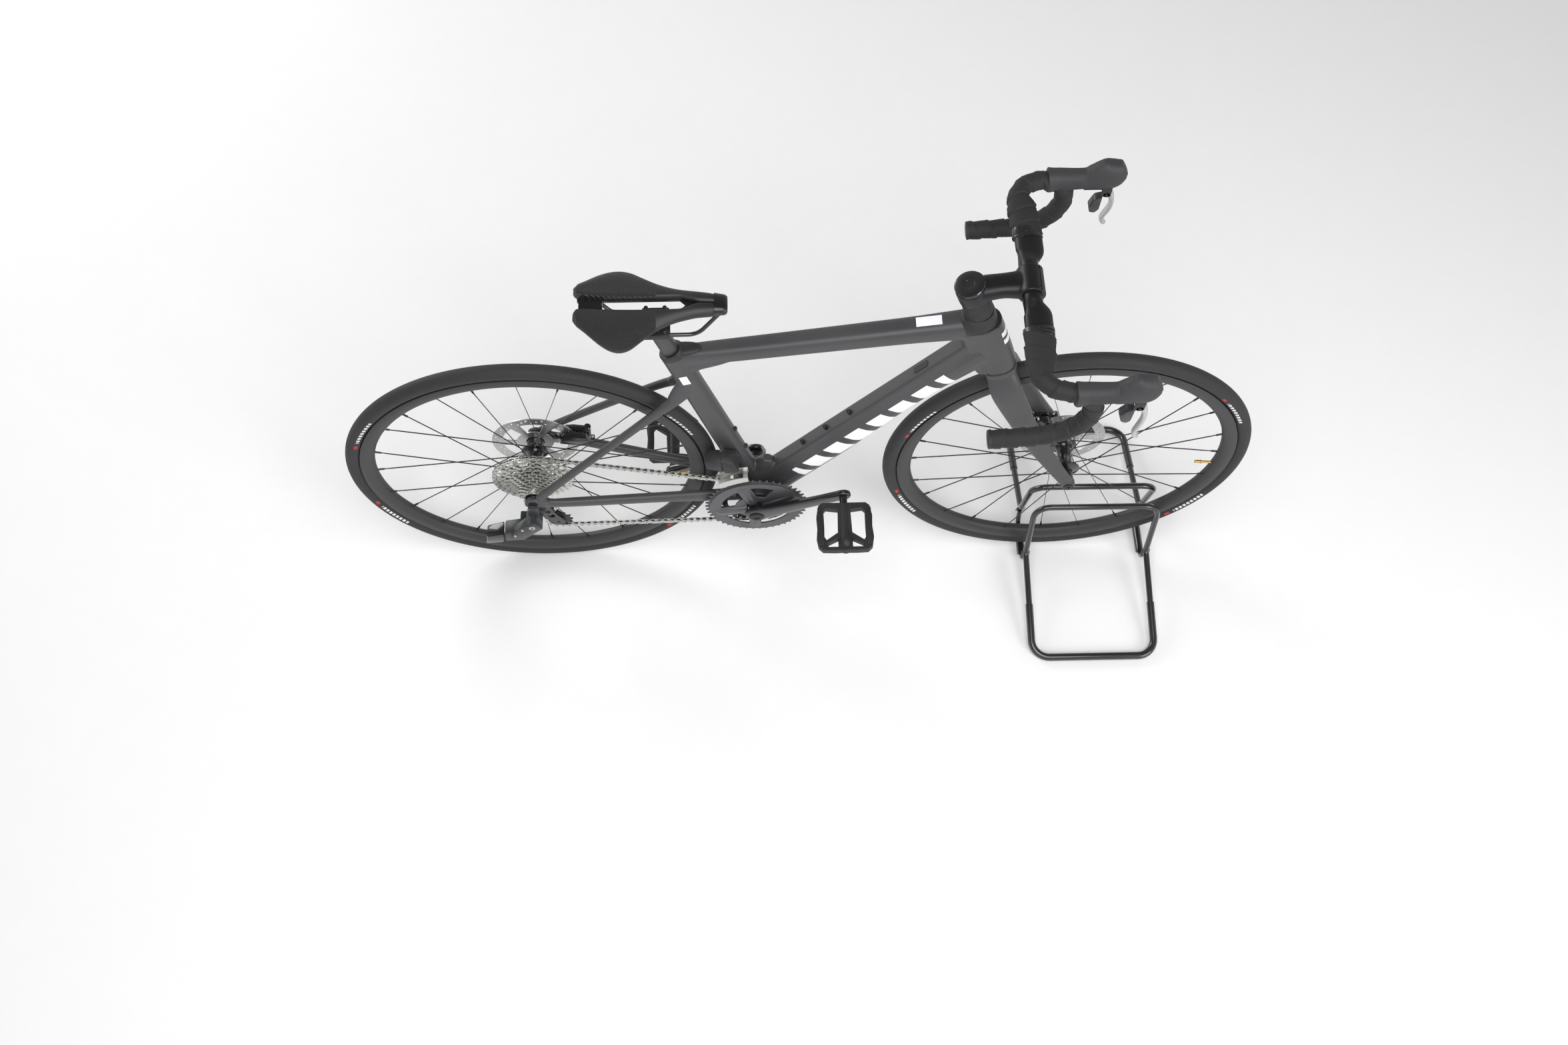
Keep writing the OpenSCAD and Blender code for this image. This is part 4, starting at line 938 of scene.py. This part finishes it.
def hood(s):
    """Rubber hood: a long grip that swells, with a tall horn in front and slanted ribs."""
    rows = [(47, -1, 15.4, 17.5), (49, -1, 17.6, 20.4), (53.5, -0.5, 17.8, 20.6), (58, 0, 16.8, 19.6),
            (76, 0.5, 15.8, 18.4), (98, 1, 14.8, 17.4), (113, 2.5, 14.4, 18), (124, 6, 15, 23),
            (134, 9, 16, 28), (145, 12.5, 17, 30.5), (154, 17, 16.8, 28.5), (161.5, 21.5, 15.4, 22.5),
            (167, 25, 13.4, 16.5), (170, 26.5, 11, 12), (170.8, 27, 5, 5)]
    fine = smooth_path([(BAR.x + x, s * HOOD_Y, BAR.z + z, w, h) for x, z, w, h in rows], 0.7)
    rings = []
    for (p, across, high), r in zip(stations([f[:3] for f in fine], (0, 0, 1)), fine):
        x = r[0] - BAR.x
        ring = []
        for k in range(64):
            a = TAU * k / 64
            fade = max(0.0, min(1.0, (x - 60) / 8)) * max(0.0, min(1.0, (134 - x) / 10)) * min(1.0,
                    1.6 * abs(math.cos(a)))
            rib = 0.5 * fade * math.sin(TAU * (x - 0.7 * r[4] * math.sin(a)) / 3.4)
            ring.append(p + across * ((r[3] + rib) * power_of(math.cos(a), HOOD_POWER)) + high
                        * ((r[4] + rib) * power_of(math.sin(a), HOOD_POWER)))
        rings.append(ring)
    return skin(rings)


piece("rubber_hoods", joined(hood(1), hood(-1)), "fork", hood_rubber, "lever_hoods",
      sharp=60)
PIVOT = BAR + V((148, 0, -26))
brackets = []
for s in (-1, 1):
    for dy in (-11.5, 11.5):
        brackets.append(placed(block((17, 3.2, 24), 1.2), shift(PIVOT.x - 1, s * HOOD_Y + dy, PIVOT.z + 7)))
        brackets.append(rod((PIVOT.x, s * HOOD_Y + dy, PIVOT.z), 6, 3.2, 0.6, 24))
    brackets.append(placed(block((44, 20, 12), 3), shift(PIVOT.x - 18, s * HOOD_Y, PIVOT.z + 14)))
    brackets.append(rod((PIVOT.x, s * HOOD_Y, PIVOT.z), 2.4, 27, 0.4, 16))
piece("lever_brackets", joined(*brackets), "fork", nylon, sharp=30)

# x, y, z from the pivot, half width and half depth
BLADE = ((2, 0, 2, 7.8, 7), (9, 0, -10, 8.4, 6), (14.5, 1, -26, 8, 4.4), (15.5, 2, -46, 7.2, 3.4),
         (11, 4, -66, 6.6, 3.2), (8, 5, -80, 6.4, 3.4), (10.5, 5, -88, 6.2, 3.8), (15, 5, -93, 4.6, 3.4),
         (16.5, 5, -94, 2, 2))
for side, s in (("left", 1), ("right", -1)):
    q = PIVOT + V((0, s * HOOD_Y, 0))
    blade = shaped([(q.x + x, q.y + s * y, q.z + z, w, h) for x, y, z, w, h in BLADE], 2.5, 24, 2.6,
                   (1, 0, 0.2))
    boss = rod(q, 6, 18, 0.8, 28)
    piece(f"lever_blade_{side}", joined(blade, boss), f"brake_lever_{side}", lever_grey,
          f"brake_lever_{side}", sharp=45)
    pad = hull([(q.x + x, q.y + s * y, q.z + z)
                for x, y, z in ((-3, -7, -14), (-3, 7, -14), (-15, -9, -18), (-15, 7, -18), (-4, -8, -44),
                                (-4, 7, -46), (-23, -11, -34), (-23, 4, -36), (-20, -10, -48),
                                (-18, 5, -51), (-10, -8, -52), (-10, 6, -53))], 1.4)
    piece(f"paddle_{side}", pad, f"shift_paddle_{side}", paddle_grey,
          f"shift_paddle_{side}", sharp=35)


# ---------- drivetrain ----------
def flat_in_bike(y, centre):
    """Matrix that lays a plate's XY in the bicycle's XZ at height y."""
    return Matrix.Translation((centre[0], y, centre[2])) @ turn(90, "X")


COG_TEETH = (36, 32, 28, 24, 21, 19, 17, 15, 13, 12, 11, 10)
cogs = []
for i, teeth in enumerate(COG_TEETH):
    r = pitch_radius(teeth)
    inner = max(17.4, r - 14)
    holes = [slot_hole(inner + 1.5, r - 5.4, a, a + 22)
             for a in range(0, 360, 30)] if r - inner > 12 else []
    cogs.append(placed(plate(toothed(teeth), 1.7, [ring_of(max(14.6, inner - 6), 40), *holes], 0.25),
                       flat_in_bike(-22 - i * 3.7, (0, 0, 0))))
carrier = placed(lathe([(14.6, 0), (17, 0), (17, 42.5), (14.6, 42.5)], 40, True), shift(0, -22, 0)
                 @ turn(90, "X"))
spider = [placed(block((3.4, 5, 44), 0.8), shift(0, -27 - 3 * (k % 2), 0) @ turn(30 * k, "Y")
                 @ shift(0, 0, 34)) for k in range(12)]
piece("sprockets", joined(carrier, *cogs), "cassette", nickel, "cassette", sharp=30)
piece("sprocket_carrier", joined(*spider), "cassette", steel, sharp=30)


def chain_path():
    """Centreline of the chain: top run, front ring, bottom run, both pulleys."""
    def round_wheel(c, teeth, a0, a1, y, n=24):
        r = pitch_radius(teeth)
        return [V((c[0] + r * math.cos(math.radians(a0 + (a1 - a0) * k / n)), y,
                   c[2] + r * math.sin(math.radians(a0 + (a1 - a0) * k / n)))) for k in range(n + 1)]
    return (round_wheel((0, 0, 0), 36, 262, 80, -22) + round_wheel(BB, 33, 80, -98, -41.5)
            + round_wheel(TENSION, 12, 277, 150, -22, 12) + round_wheel(GUIDE, 12, -30, 88, -22, 12))


def resampled(path, count):
    """Count points at equal distances round a closed path."""
    path = path + path[:1]
    lengths = [0.0]
    for a, b in zip(path, path[1:]):
        lengths.append(lengths[-1] + (b - a).length)
    out, i = [], 0
    for k in range(count):
        want = lengths[-1] * k / count
        while lengths[i + 1] < want:
            i += 1
        t = (want - lengths[i]) / (lengths[i + 1] - lengths[i])
        out.append(path[i].lerp(path[i + 1], t))
    return out, lengths[-1]


_, chain_length = resampled(chain_path(), 4)
links = round(chain_length / CHAIN_PITCH / 2) * 2
pins, _ = resampled(chain_path(), links)
side_plate = [(-CHAIN_PITCH / 2 + 4 * math.cos(math.radians(a)), 4 * math.sin(math.radians(a)))
              for a in range(90, 271, 30)]
side_plate = side_plate + [(0, -2.9)] + [(-x, -y) for x, y in side_plate] + [(0, 2.9)]
chain_parts, rollers = [], []
for i, p in enumerate(pins):
    q = pins[(i + 1) % links]
    t = (q - p).normalized()
    flat = Matrix.Translation((p + q) / 2) @ axes(t, V((0, 1, 0)).cross(t) * -1, V((0, -1, 0)))
    gap = 1.75 if i % 2 else 2.65
    for s in (-1, 1):
        chain_parts.append(placed(([V((x, y, s * gap + dz)) for dz in (-0.42, 0.42) for x, y in side_plate],
                                   skin([side_plate, side_plate])[1]), flat))
    rollers.append(rod(p, 3.8, 2.3, 0.3, 12))
    rollers.append(rod(p, 1.8, 6.4, 0.3, 8))
piece("chain_side_plates", joined(*chain_parts), "frame", nickel, "chain", sharp=30)
piece("chain_rollers", joined(*rollers), "frame", screw, sharp=30)

ARM_U = (V((PEDAL_R.x, 0, PEDAL_R.z)) - BB).normalized()
ARM_TURN = math.degrees(math.atan2(ARM_U.z, ARM_U.x))
big = plate(toothed(46, 4.2, 3.0), 2.4, [ring_of(84, 120)], 0.3)
cover_windows = [arc(66, 98, 158, 12) + arc(40, 150, 106, 8), arc(66, 188, 236, 12) + arc(40, 228, 196, 8),
                 arc(66, 250, 318, 12) + arc(42, 308, 260, 8), arc(72, 40, 76, 10) + arc(38, 66, 44, 6)]
cover = placed(plate(ring_of(87, 140), 3.0, [ring_of(20, 40), *cover_windows], 0.5),
               flat_in_bike(-52.2, BB) @ turn(ARM_TURN, "Z"))
rim_step = placed(lathe([(80, 0), (86.8, 0), (88.2, 1.2), (88, 3.6), (86, 4.2), (82, 3.8), (80, 3)], 140,
                        True), shift(BB.x, -48.2, BB.z) @ turn(90, "X"))
ribs = []
for a in (2, 88, 172, 245):
    ribs.append(placed(hull([(16, -9, 0), (16, 9, 0), (80, -13, 0), (80, 13, 0), (18, -4, 6), (18, 4, 6),
                             (70, -1, 3.5), (70, 1, 3.5)], 0.8), flat_in_bike(-53, BB)
                       @ turn(ARM_TURN + a, "Z")))
small_ring = placed(plate(toothed(33), 2.2, [ring_of(54, 80)], 0.3), flat_in_bike(-41.5, BB))
piece("outer_chainring", joined(placed(big, flat_in_bike(-49, BB)), rim_step), "crank", ring_grey,
      "chainrings", sharp=30)
piece("chainring_cover", joined(cover, *ribs), "crank", ring_grey, sharp=30)
piece("inner_chainring", small_ring, "crank", screw, sharp=30)
spacer_bolts = [rod(BB + 58 * V((math.cos(g), 0, math.sin(g))) + V((0, -46, 0)), 4.2, 9, 0.8, 16)
                for g in (TAU * k / 8 for k in range(8))]
piece("ring_spacers", joined(*spacer_bolts), "crank", anodised, sharp=30)


def crank_arm(centre, s):
    """Hollow-forged arm: broad at the axle, waisted, swelling at the pedal eye."""
    c = V((centre.x, 0, centre.z))
    u, out = (c - BB).normalized(), V((0, s * 68, 0))
    rows = [(*(at + out + u * d), w, h)
            for at, d, w, h in ((BB, -18, 5, 12), (BB, -10, 6.4, 19), (BB, 6, 6.6, 21), (BB, 30, 6.5, 17),
                                (BB, 70, 6.3, 14.2), (BB, 125, 6.2, 12.8), (c, -14, 6.2, 13),
                                (c, 0, 6.2, 13.4), (c, 9, 6, 10.5), (c, 13, 4.6, 6))]
    return shaped(rows, 3, 36, 3.4, u.cross(V((0, 1, 0))))


for side, s, c in (("right", -1, PEDAL_R), ("left", 1, PEDAL_L)):
    piece(f"forged_arm_{side}", crank_arm(c, s), "crank", gloss, f"crank_arm_{side}",
          sharp=40)
    cap_rows = [(0, 5.8), (12.6, 5.8), (13.6, 6.8), (13.8, 7.6), (12.8, 8.2), (6, 8.6), (5.4, 8.4),
                (5, 7.4), (0, 7.4)]
    piece(f"axle_cap_{side}", placed(lathe(cap_rows, 40), facing(BB + V((0, s * 68, 0)), (0, s, 0))),
          "crank", anodised, sharp=35)
piece("crank_axle_ends", joined(*[rod((c.x, s * 75.6, c.z), 7.6, 3, 0.6, 24, 4)
                                  for s, c in ((-1, PEDAL_R), (1, PEDAL_L))]), "crank", screw,
      sharp=30)


def pedal(centre, s):
    """Platform pedal: railed cage with windows and studs, and a barrel that swells near the outer end."""
    half = [(0, -49), (40, -49), (47, -43), (51, -22), (50, 0), (52, 22), (49, 40), (41, 48), (20, 49),
            (0, 48.5)]
    outline = [(x, s * y) for x, y in half + [(-x, y) for x, y in half[-2:0:-1]]]
    def window(m):
        return [(m * x, s * y) for x, y in ((11.5, -34), (33, -37), (38, -32), (37.5, 0), (38, 21),
                                            (34, 27), (13, 12))]
    def notch(m):
        return [(m * x, s * y) for x, y in ((13, 25), (33, 35), (31, 41), (13, 41))]
    cage = plate(outline, 13.5, [window(1), window(-1), notch(1), notch(-1)], 1.2)
    pads = [placed(block((9, 76, 1.6), 0.6), shift(m * 44.5, 0, z)) for m in (-1, 1) for z in (-7, 7)]
    pins = [placed(block((2.6, 2.6, 1.8), 0.5), shift(m * 44.5, y, z)) for m in (-1, 1)
            for y in range(-34, 36, 6) for z in (-8.2, 8.2)]
    pins += [placed(block((2.2, 2.2, 1.4), 0.5), shift(x, s * y, z)) for x in range(-32, 33, 8)
             for y in (-43, 45) for z in (-7.2, 7.2)]
    tube = shaped([(0, s * y, 0, w, w)
                   for y, w in ((-47, 9), (-20, 9.2), (8, 9.4), (20, 12), (29, 12.6), (36, 11), (41, 7))],
                  3, 28)
    end = placed(barrel(7.4, 3, 0.8, 28), shift(0, s * 48, 0) @ turn(90, "X"))
    return placed(joined(cage, *pads, *pins, tube, end), shift(centre.x, centre.y, centre.z))


for side, s, c in (("right", -1, PEDAL_R), ("left", 1, PEDAL_L)):
    piece(f"platform_{side}", pedal(c, s), f"pedal_{side}", nylon, f"pedal_body_{side}",
          sharp=35)


def pulley(centre):
    holes = [ring_of(2.3, 12, 11.5 * math.cos(TAU * k / 6), 11.5 * math.sin(TAU * k / 6)) for k in range(6)]
    return placed(plate(toothed(12, 3.2, 2.6), 2.4, [ring_of(3.6, 20), *holes], 0.3),
                  flat_in_bike(-22, centre))


piece("guide_wheel", pulley(GUIDE), "guide_pulley", nylon, "guide_pulley", sharp=30)
piece("tension_wheel", pulley(TENSION), "tension_pulley", nylon, "tension_pulley",
      sharp=30)
cages = []
for y in (-28, -16):
    outline = arc(13, 22, 202, 14, 0, 0) + [(-8, -30)] + arc(13, 202, 382, 14, 23, -57) + [(20, -24)]
    cages.append(placed(plate(outline, 2, [ring_of(5, 16, 7, -17), ring_of(6.5, 18, 12, -33)], 0.5),
                        flat_in_bike(y, GUIDE)))
cages += [rod(c, 3.6, 14, 0.6, 16) for c in ((5, -22, -106), (28, -22, -163))]
piece("pulley_cage_plates", joined(*cages), "frame", paddle_grey, "pulley_cage", sharp=30)


def mech():
    """Rear derailleur: hanger, upper knuckle, arms, motor box and lower knuckle."""
    hanger = hull([(x, y, z) for y in (-82, -75) for x, z in ((-10, -8), (9, -10), (6, -50), (-12, -50))],
                  1.4)
    knuckle = rod((-6, -85, -44), 11, 34, 2.5, 32)
    upper = hull([(2, -103, -34), (2, -82, -34), (-16, -103, -38), (-16, -82, -38), (-22, -104, -86),
                  (-22, -80, -86), (-50, -104, -84), (-50, -80, -84), (-34, -102, -56), (12, -100, -56),
                  (12, -84, -56)], 2)
    motor = hull([(-28, -93, -76), (-28, -64, -76), (-62, -93, -84), (-62, -64, -84), (-64, -93, -116),
                  (-64, -64, -116), (-26, -93, -112), (-26, -64, -112)], 3)
    lower = hull([(-34, -76, -78), (-34, -46, -80), (2, -72, -92), (2, -42, -94), (4, -70, -118),
                  (4, -42, -118), (-34, -76, -112), (-34, -46, -112)], 3)
    foot = rod((-2, -38, -100), 12, 16, 2, 32)
    return joined(hanger, knuckle, upper, motor, lower, foot)


battery_rear = hull([(-64, -93, -88), (-64, -63, -88), (-98, -91, -100), (-98, -65, -100),
                     (-102, -91, -128), (-102, -65, -128), (-68, -93, -120), (-68, -63, -120)], 3.2)
piece("rear_mech_body", mech(), "frame", paddle_grey, "rear_derailleur", sharp=30)
piece("rear_mech_battery", battery_rear, "frame", gloss, sharp=30)
mech_bolts = [rod((-6, -103.4, -44), 6, 3, 0.8, 24, 2.6), rod((-40, -104.6, -72), 2.6, 3, 0.5, 16),
              rod((-24, -104.6, -50), 2.6, 3, 0.5, 16)]
piece("rear_mech_screws", joined(*mech_bolts), "frame", steel, sharp=30)

front_box = hull([(344, -26, 94), (344, -50, 90), (368, -26, 88), (368, -47, 82), (378, -28, 60),
                  (378, -50, 52), (356, -26, 48), (350, -52, 52)], 3)
front_battery = hull([(315, -24, 92), (315, -46, 87), (345, -24, 96), (345, -51, 92), (349, -26, 62),
                      (349, -52, 58), (320, -24, 64), (318, -48, 63)], 3)
front_clamp = hull([(350, -16, 88), (372, -16, 80), (350, -30, 88), (374, -30, 80), (360, -16, 56),
                    (382, -16, 56), (360, -30, 56), (380, -30, 54)], 2)
piece("front_mech_body", joined(front_box, front_clamp), "frame", nylon,
      "front_derailleur", sharp=30)
piece("front_mech_battery", front_battery, "frame", nylon, sharp=30)


def cage_side(y, lift):
    """Curved plate of the front derailleur's cage that follows the big ring."""
    outer, inner = [], []
    for k in range(13):
        a = math.radians(132 - 34 * k / 12)
        outer.append((111 * math.cos(a), 111 * math.sin(a) + lift))
        inner.append(((98 - 2 * math.sin(math.pi * k / 12)) * math.cos(a),
                      (98 - 2 * math.sin(math.pi * k / 12)) * math.sin(a)))
    return placed(plate(outer + inner[::-1], 1.5, (), 0.4), flat_in_bike(y, BB))


bridges = [placed(block((26, 19, 1.6), 0.5), shift(BB.x - 58, -41, BB.z + 90) @ turn(-35, "Y")),
           placed(block((9, 19, 5), 1), shift(BB.x - 20, -41, BB.z + 106))]
piece("front_mech_cage", joined(cage_side(-51.6, 2), cage_side(-31.5, 5), *bridges), "frame", nickel,
      sharp=30)


# ---------- brakes and axles ----------
def brake(c, a, link, link_at):
    """Flat-mount caliper: two halves with the rotor between, a bridge, a banjo and a long foot."""
    halves = [hull([(x, s * y, z) for y in (1.8, 15)
                    for x, z in ((-28, -10), (-22, 12), (-6, 16), (18, 15), (28, 4), (28, -12))], 1.6)
              for s in (-1, 1)]
    foot = placed(block((74, 13, 9), 2.4), shift(0, 7.5, -17.5))
    fins = [placed(block((3, 8, 7), 0.8), shift(-14 + 6 * k, s * 6.4, 16)) for k in range(5)
            for s in (-1, 1)]
    banjo = placed(barrel(6.4, 9, 1.2, 24), shift(20, 10, 16))
    bridge = placed(block(link, 1.4), shift(link_at[0], 0, link_at[1]))
    return placed(joined(*halves, foot, *fins, banjo, bridge), shift(*c) @ turn(a, "Y"))


def brake_screws(c, a):
    return placed(joined(*[placed(barrel(3.6, 4, 0.8, 20), shift(x, 8, -11.6)) for x in (-31, 31)],
                         placed(barrel(5, 3, 0.8, 24), shift(4, 16, 0) @ turn(90, "X"))),
                  shift(*c) @ turn(a, "Y"))


FRONT_BRAKE, REAR_BRAKE = (WHEELBASE - 58, 39.5, 62), (76, 56, 18)
piece("front_brake_body", brake(FRONT_BRAKE, -44, (40, 8, 11), (-2, 7)), "fork", gloss,
      "front_caliper", sharp=30)
piece("front_brake_screws", brake_screws(FRONT_BRAKE, -44), "fork", steel, sharp=30)
piece("rear_brake_body", brake(REAR_BRAKE, 10, (15, 8, 18), (18, 2)), "frame", gloss,
      "rear_caliper", sharp=30)
piece("rear_brake_screws", brake_screws(REAR_BRAKE, 10), "frame", steel, sharp=30)

# ---------- seat ----------
post = shaped([(*along_seat(330), 12.6, 13.2), (*along_seat(500), 12.8, 15), (*along_seat(525), 12.8, 15),
               (*along_seat(541), 13.6, 15)], 5, 36, 2.3, SEAT_N)
head_block = hull([(227, -15, 440), (227, 15, 440), (272, -15, 444), (272, 15, 444), (226, -17, 452),
                   (226, 17, 452), (272, -17, 452), (272, 17, 452)], 2.4)
piece("aero_seatpost", joined(post), "seatpost", plain_carbon, "seatpost", sharp=60)
yoke = [placed(block((44, 12, 12), 2.4), shift(249, s * 22, 458))
        for s in (-1, 1)] + [placed(block((34, 40, 7), 2), shift(249, 0, 451))]
yoke += [placed(barrel(3.4, 14, 0.8, 20), shift(x, s * 22, 466)) for x in (234, 264) for s in (-1, 1)]
piece("rail_clamp", joined(head_block, *yoke), "seatpost", nylon, "saddle_clamp", sharp=30)
collar = shaped([(*along_seat(466, 1), 17.6, 21.8), (*along_seat(474, 1), 18.2, 22.2),
                 (*along_seat(479, 0), 17.4, 19)], 2, 40, 2.4, SEAT_N)
wedge = shaped([(276, 0, 380, 13, 6), (286, 0, 382.5, 14, 7), (298, 0, 384.6, 13, 6.2),
                (309, 0, 386.6, 10.5, 4.4), (317, 0, 388, 6.5, 2), (319, 0, 388.2, 3, 0.8)], 2, 28, 2.3)
piece("seat_collar", joined(collar, wedge), "frame", nylon, "seat_clamp", sharp=35)

rails = []
for s in (-1, 1):
    path = bent([(142, s * 31, 502), (180, s * 23, 458), (316, s * 22, 458), (354, s * 9, 500)], [22, 34],
                8)
    rails.append(loft(path, 3.5, 16, up=(0.1, 0, 1)))
piece("rail_pair", joined(*rails), "saddle", gloss, "saddle_rails", sharp=60)


def saddle_half_width(t):
    """Half width of the saddle at a share of its length from the tail."""
    rows = [(0, 33), (0.08, 47), (0.16, 62.5), (0.23, 72.5), (0.30, 76), (0.37, 71.5), (0.45, 58),
            (0.54, 43.5), (0.65, 31.5), (0.78, 24), (0.9, 20), (1, 14.5)]
    i = max(k for k in range(len(rows) - 1) if rows[k][0] <= t)
    slopes = []
    for k in (i, i + 1):
        low, high = rows[max(k - 1, 0)], rows[min(k + 1, len(rows) - 1)]
        slopes.append((high[1] - low[1]) / (high[0] - low[0]))
    (a, p), (b, q) = rows[i], rows[i + 1]
    u, h = (t - a) / (b - a), b - a
    return (p * (1 + 2 * u) * (1 - u) ** 2 + slopes[0] * h * u * (1 - u) ** 2 + q * u * u * (3 - 2 * u)
            + slopes[1] * h * u * u * (u - 1))


REAR_X, SADDLE_L = 121, 243


def saddle_top(x, y):
    """Height of the saddle's skin: raised tail, dipping middle, sides that fall away."""
    t = (x - REAR_X) / SADDLE_L
    w = saddle_half_width(t)
    crown = 520.5 + 7 * (1 - t) ** 3 - 3.5 * math.sin(math.pi * min(1, t * 1.15)) - 6 * max(0,
            t - 0.8) / 0.2
    return crown - 0.0030 * y * y - 6.5 * abs(y / w) ** 5


def saddle_side(s):
    """One padded half of the saddle from the channel to its outer edge, closed underneath."""
    rings, n = [], 64
    for i in range(n + 1):
        t = i / n
        x = REAR_X + SADDLE_L * t
        w = saddle_half_width(t)
        channel = 11 * (1 - max(0, (t - 0.7) / 0.12)) if t > 0.7 else 11 + 3 * max(0, 1 - t / 0.12)
        channel = max(channel, 0.3)
        back = 0 if t > 0.02 else 3
        ring = []
        for k in range(17):
            u = k / 16
            y = channel + (w - channel) * (1 - (1 - u) ** 1.25)
            lip = 3.2 * math.exp(-((y - channel) / 2.6) ** 2)
            ring.append(V((x + back, s * y, saddle_top(x, y) - lip)))
        edge = ring[-1].z
        ring += [V((x, s * (w + 0.4), edge - 4)), V((x, s * (w - 0.8), edge - 9)),
                 V((x, s * (w - 4), edge - 12)),
                 V((x, s * (channel + (w - channel) * 0.5), max(edge - 10, 497.5))),
                 V((x, s * (channel + 1.5), 505.5)), V((x, s * channel, 509.5))]
        rings.append(ring)
    return skin(rings)


def pinched(shape):
    """Rounds the two ends of a saddle half by drawing its end rings in."""
    points, faces = shape
    count = len(points) // 65
    for ring, share in ((0, 0.45), (1, 0.16), (63, 0.1), (64, 0.4)):
        rows = points[ring * count:(ring + 1) * count]
        heart = sum(rows, V()) / count
        for k in range(count):
            points[ring * count + k] = rows[k].lerp(V((rows[k].x, heart.y, heart.z)), share)
    return points, faces


pads = [pinched(saddle_side(s)) for s in (-1, 1)]
ribbed(saddle_skin, (REAR_X, 0, 508), (0.32, 0.95, 0), 2.6, 0.5, [((1, 0, 0), 60, 70)])
cover = piece("saddle_padding", joined(*pads), "saddle", saddle_skin, "saddle_cover",
              sharp=70, level=1)
tub = []
for s in (-1, 1):
    rows = []
    for i in range(25):
        t = 0.03 + 0.94 * i / 24
        x, w = REAR_X + SADDLE_L * t, saddle_half_width(t)
        gap = 9.5 if t < 0.72 else 0.2
        z = saddle_top(x, w) - 8
        rows.append([V((x, s * gap, 509)), V((x, s * (gap + 2.5), 509.5)), V((x, s * (w - 5), z)),
                     V((x, s * (w - 4.5), z - 3)), V((x, s * (w - 8), z - 4.5)), V((x, s * (gap + 2), 504)),
                     V((x, s * gap, 504))])
    tub.append(skin(rows))
bridge_rows = [[V((x, -14, 513)), V((x, 14, 513)), V((x, 14, 505)), V((x, -14, 505))]
               for x in (131, 145, 160, 168)]
tub.append(skin(bridge_rows))
nose_band = shaped([(343, 0, 508.5, 19.5, 11), (347, 0, 508, 19.2, 10.8), (360, 0, 506.5, 17.5, 9.4),
                    (364, 0, 506, 15, 7.6)], 2, 32, 2.8)
piece("saddle_base", joined(*tub), "saddle", saddle_gloss, "saddle_shell", sharp=35)
piece("saddle_nose_band", nose_band, "saddle", saddle_gloss, sharp=50)

# ---------- small fittings ----------
BUTTON_HEAD = [(0, 0), (5.2, 0), (5.2, 2), (4.2, 2.4), (4.2, 5.4), (3.4, 6.3), (1.8, 6.3), (1.6, 4.2),
               (0, 4.2)]
spots = [(DOWN_START + d * DOWN_U + 36.4 * DOWN_N, DOWN_N) for d in (157, 221, 285)]
spots += [(along_seat(d, 20.5), SEAT_N) for d in (138, 202)]
bolts = [placed(lathe(BUTTON_HEAD, 20), facing(spot, normal)) for spot, normal in spots]
piece("bottle_bolts", joined(*bolts), "frame", screw, "frame_fittings", sharp=30)
port = placed(plate([(x * 15 + dx, y * 6 + dy)
                     for x, y, dx, dy in ((-1, -1, 0, 0), (1, -1, 0, 0), (1.2, 0, 0, 0), (1, 1, 0, 0),
                                          (-1, 1, 0, 0), (-1.2, 0, 0, 0))], 1.6, (), 0.5),
              Matrix.Translation(DOWN_START + 466 * DOWN_U + 37.4 * DOWN_N)
              @ axes(DOWN_U, V((0, 1, 0)), DOWN_U.cross(V((0, 1, 0)))))
piece("cable_port_cover", port, "frame", nylon, sharp=30)
sticker_at = TOP_A + 415 * TOP_U + V((0, 0, 21.4))
sticker = placed(plate([(-21, -9), (21, -9), (21, 9), (-21, 9)], 0.5, (), 0.15),
                 Matrix.Translation(sticker_at) @ axes(TOP_U, V((0, 1, 0)), TOP_U.cross(V((0, 1, 0)))))
tag_at = along_seat(405, 0, -17)
tag = placed(plate([(-7, -12), (7, -12), (7, 12), (-7, 12)], 0.5, (), 0.15), Matrix.Translation(tag_at)
             @ axes(SEAT_N, SEAT_U, V((0, -1, 0))))
piece("blank_label", joined(sticker, tag), "frame", label, sharp=30)
axle_ends = [placed(lathe([(3, -2), (8.6, -2), (8.8, -1), (8.8, 1.4), (8, 2), (5.4, 2), (4.6, 0.6),
                           (3, 0.6)], 32, True), crosswise((x, y, 0)))
             for x, y in ((WHEELBASE, -65.4), (0, -79.4))]
piece("axle_end_rings", joined(axle_ends[0]), "fork", screw, sharp=30)
piece("axle_end_ring_rear", joined(axle_ends[1]), "frame", screw, sharp=30)

# CAD nodes that show as they are
for node, material in (("stand_sleeves", enamel), ("front_axle", screw), ("rear_axle", screw),
                       ("headset_bearings", steel), ("bottom_bracket", anodised),
                       ("crank_spindle", anodised), ("pedal_axles", screw)):
    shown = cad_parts[node].data.materials
    shown.clear()
    shown.append(material)
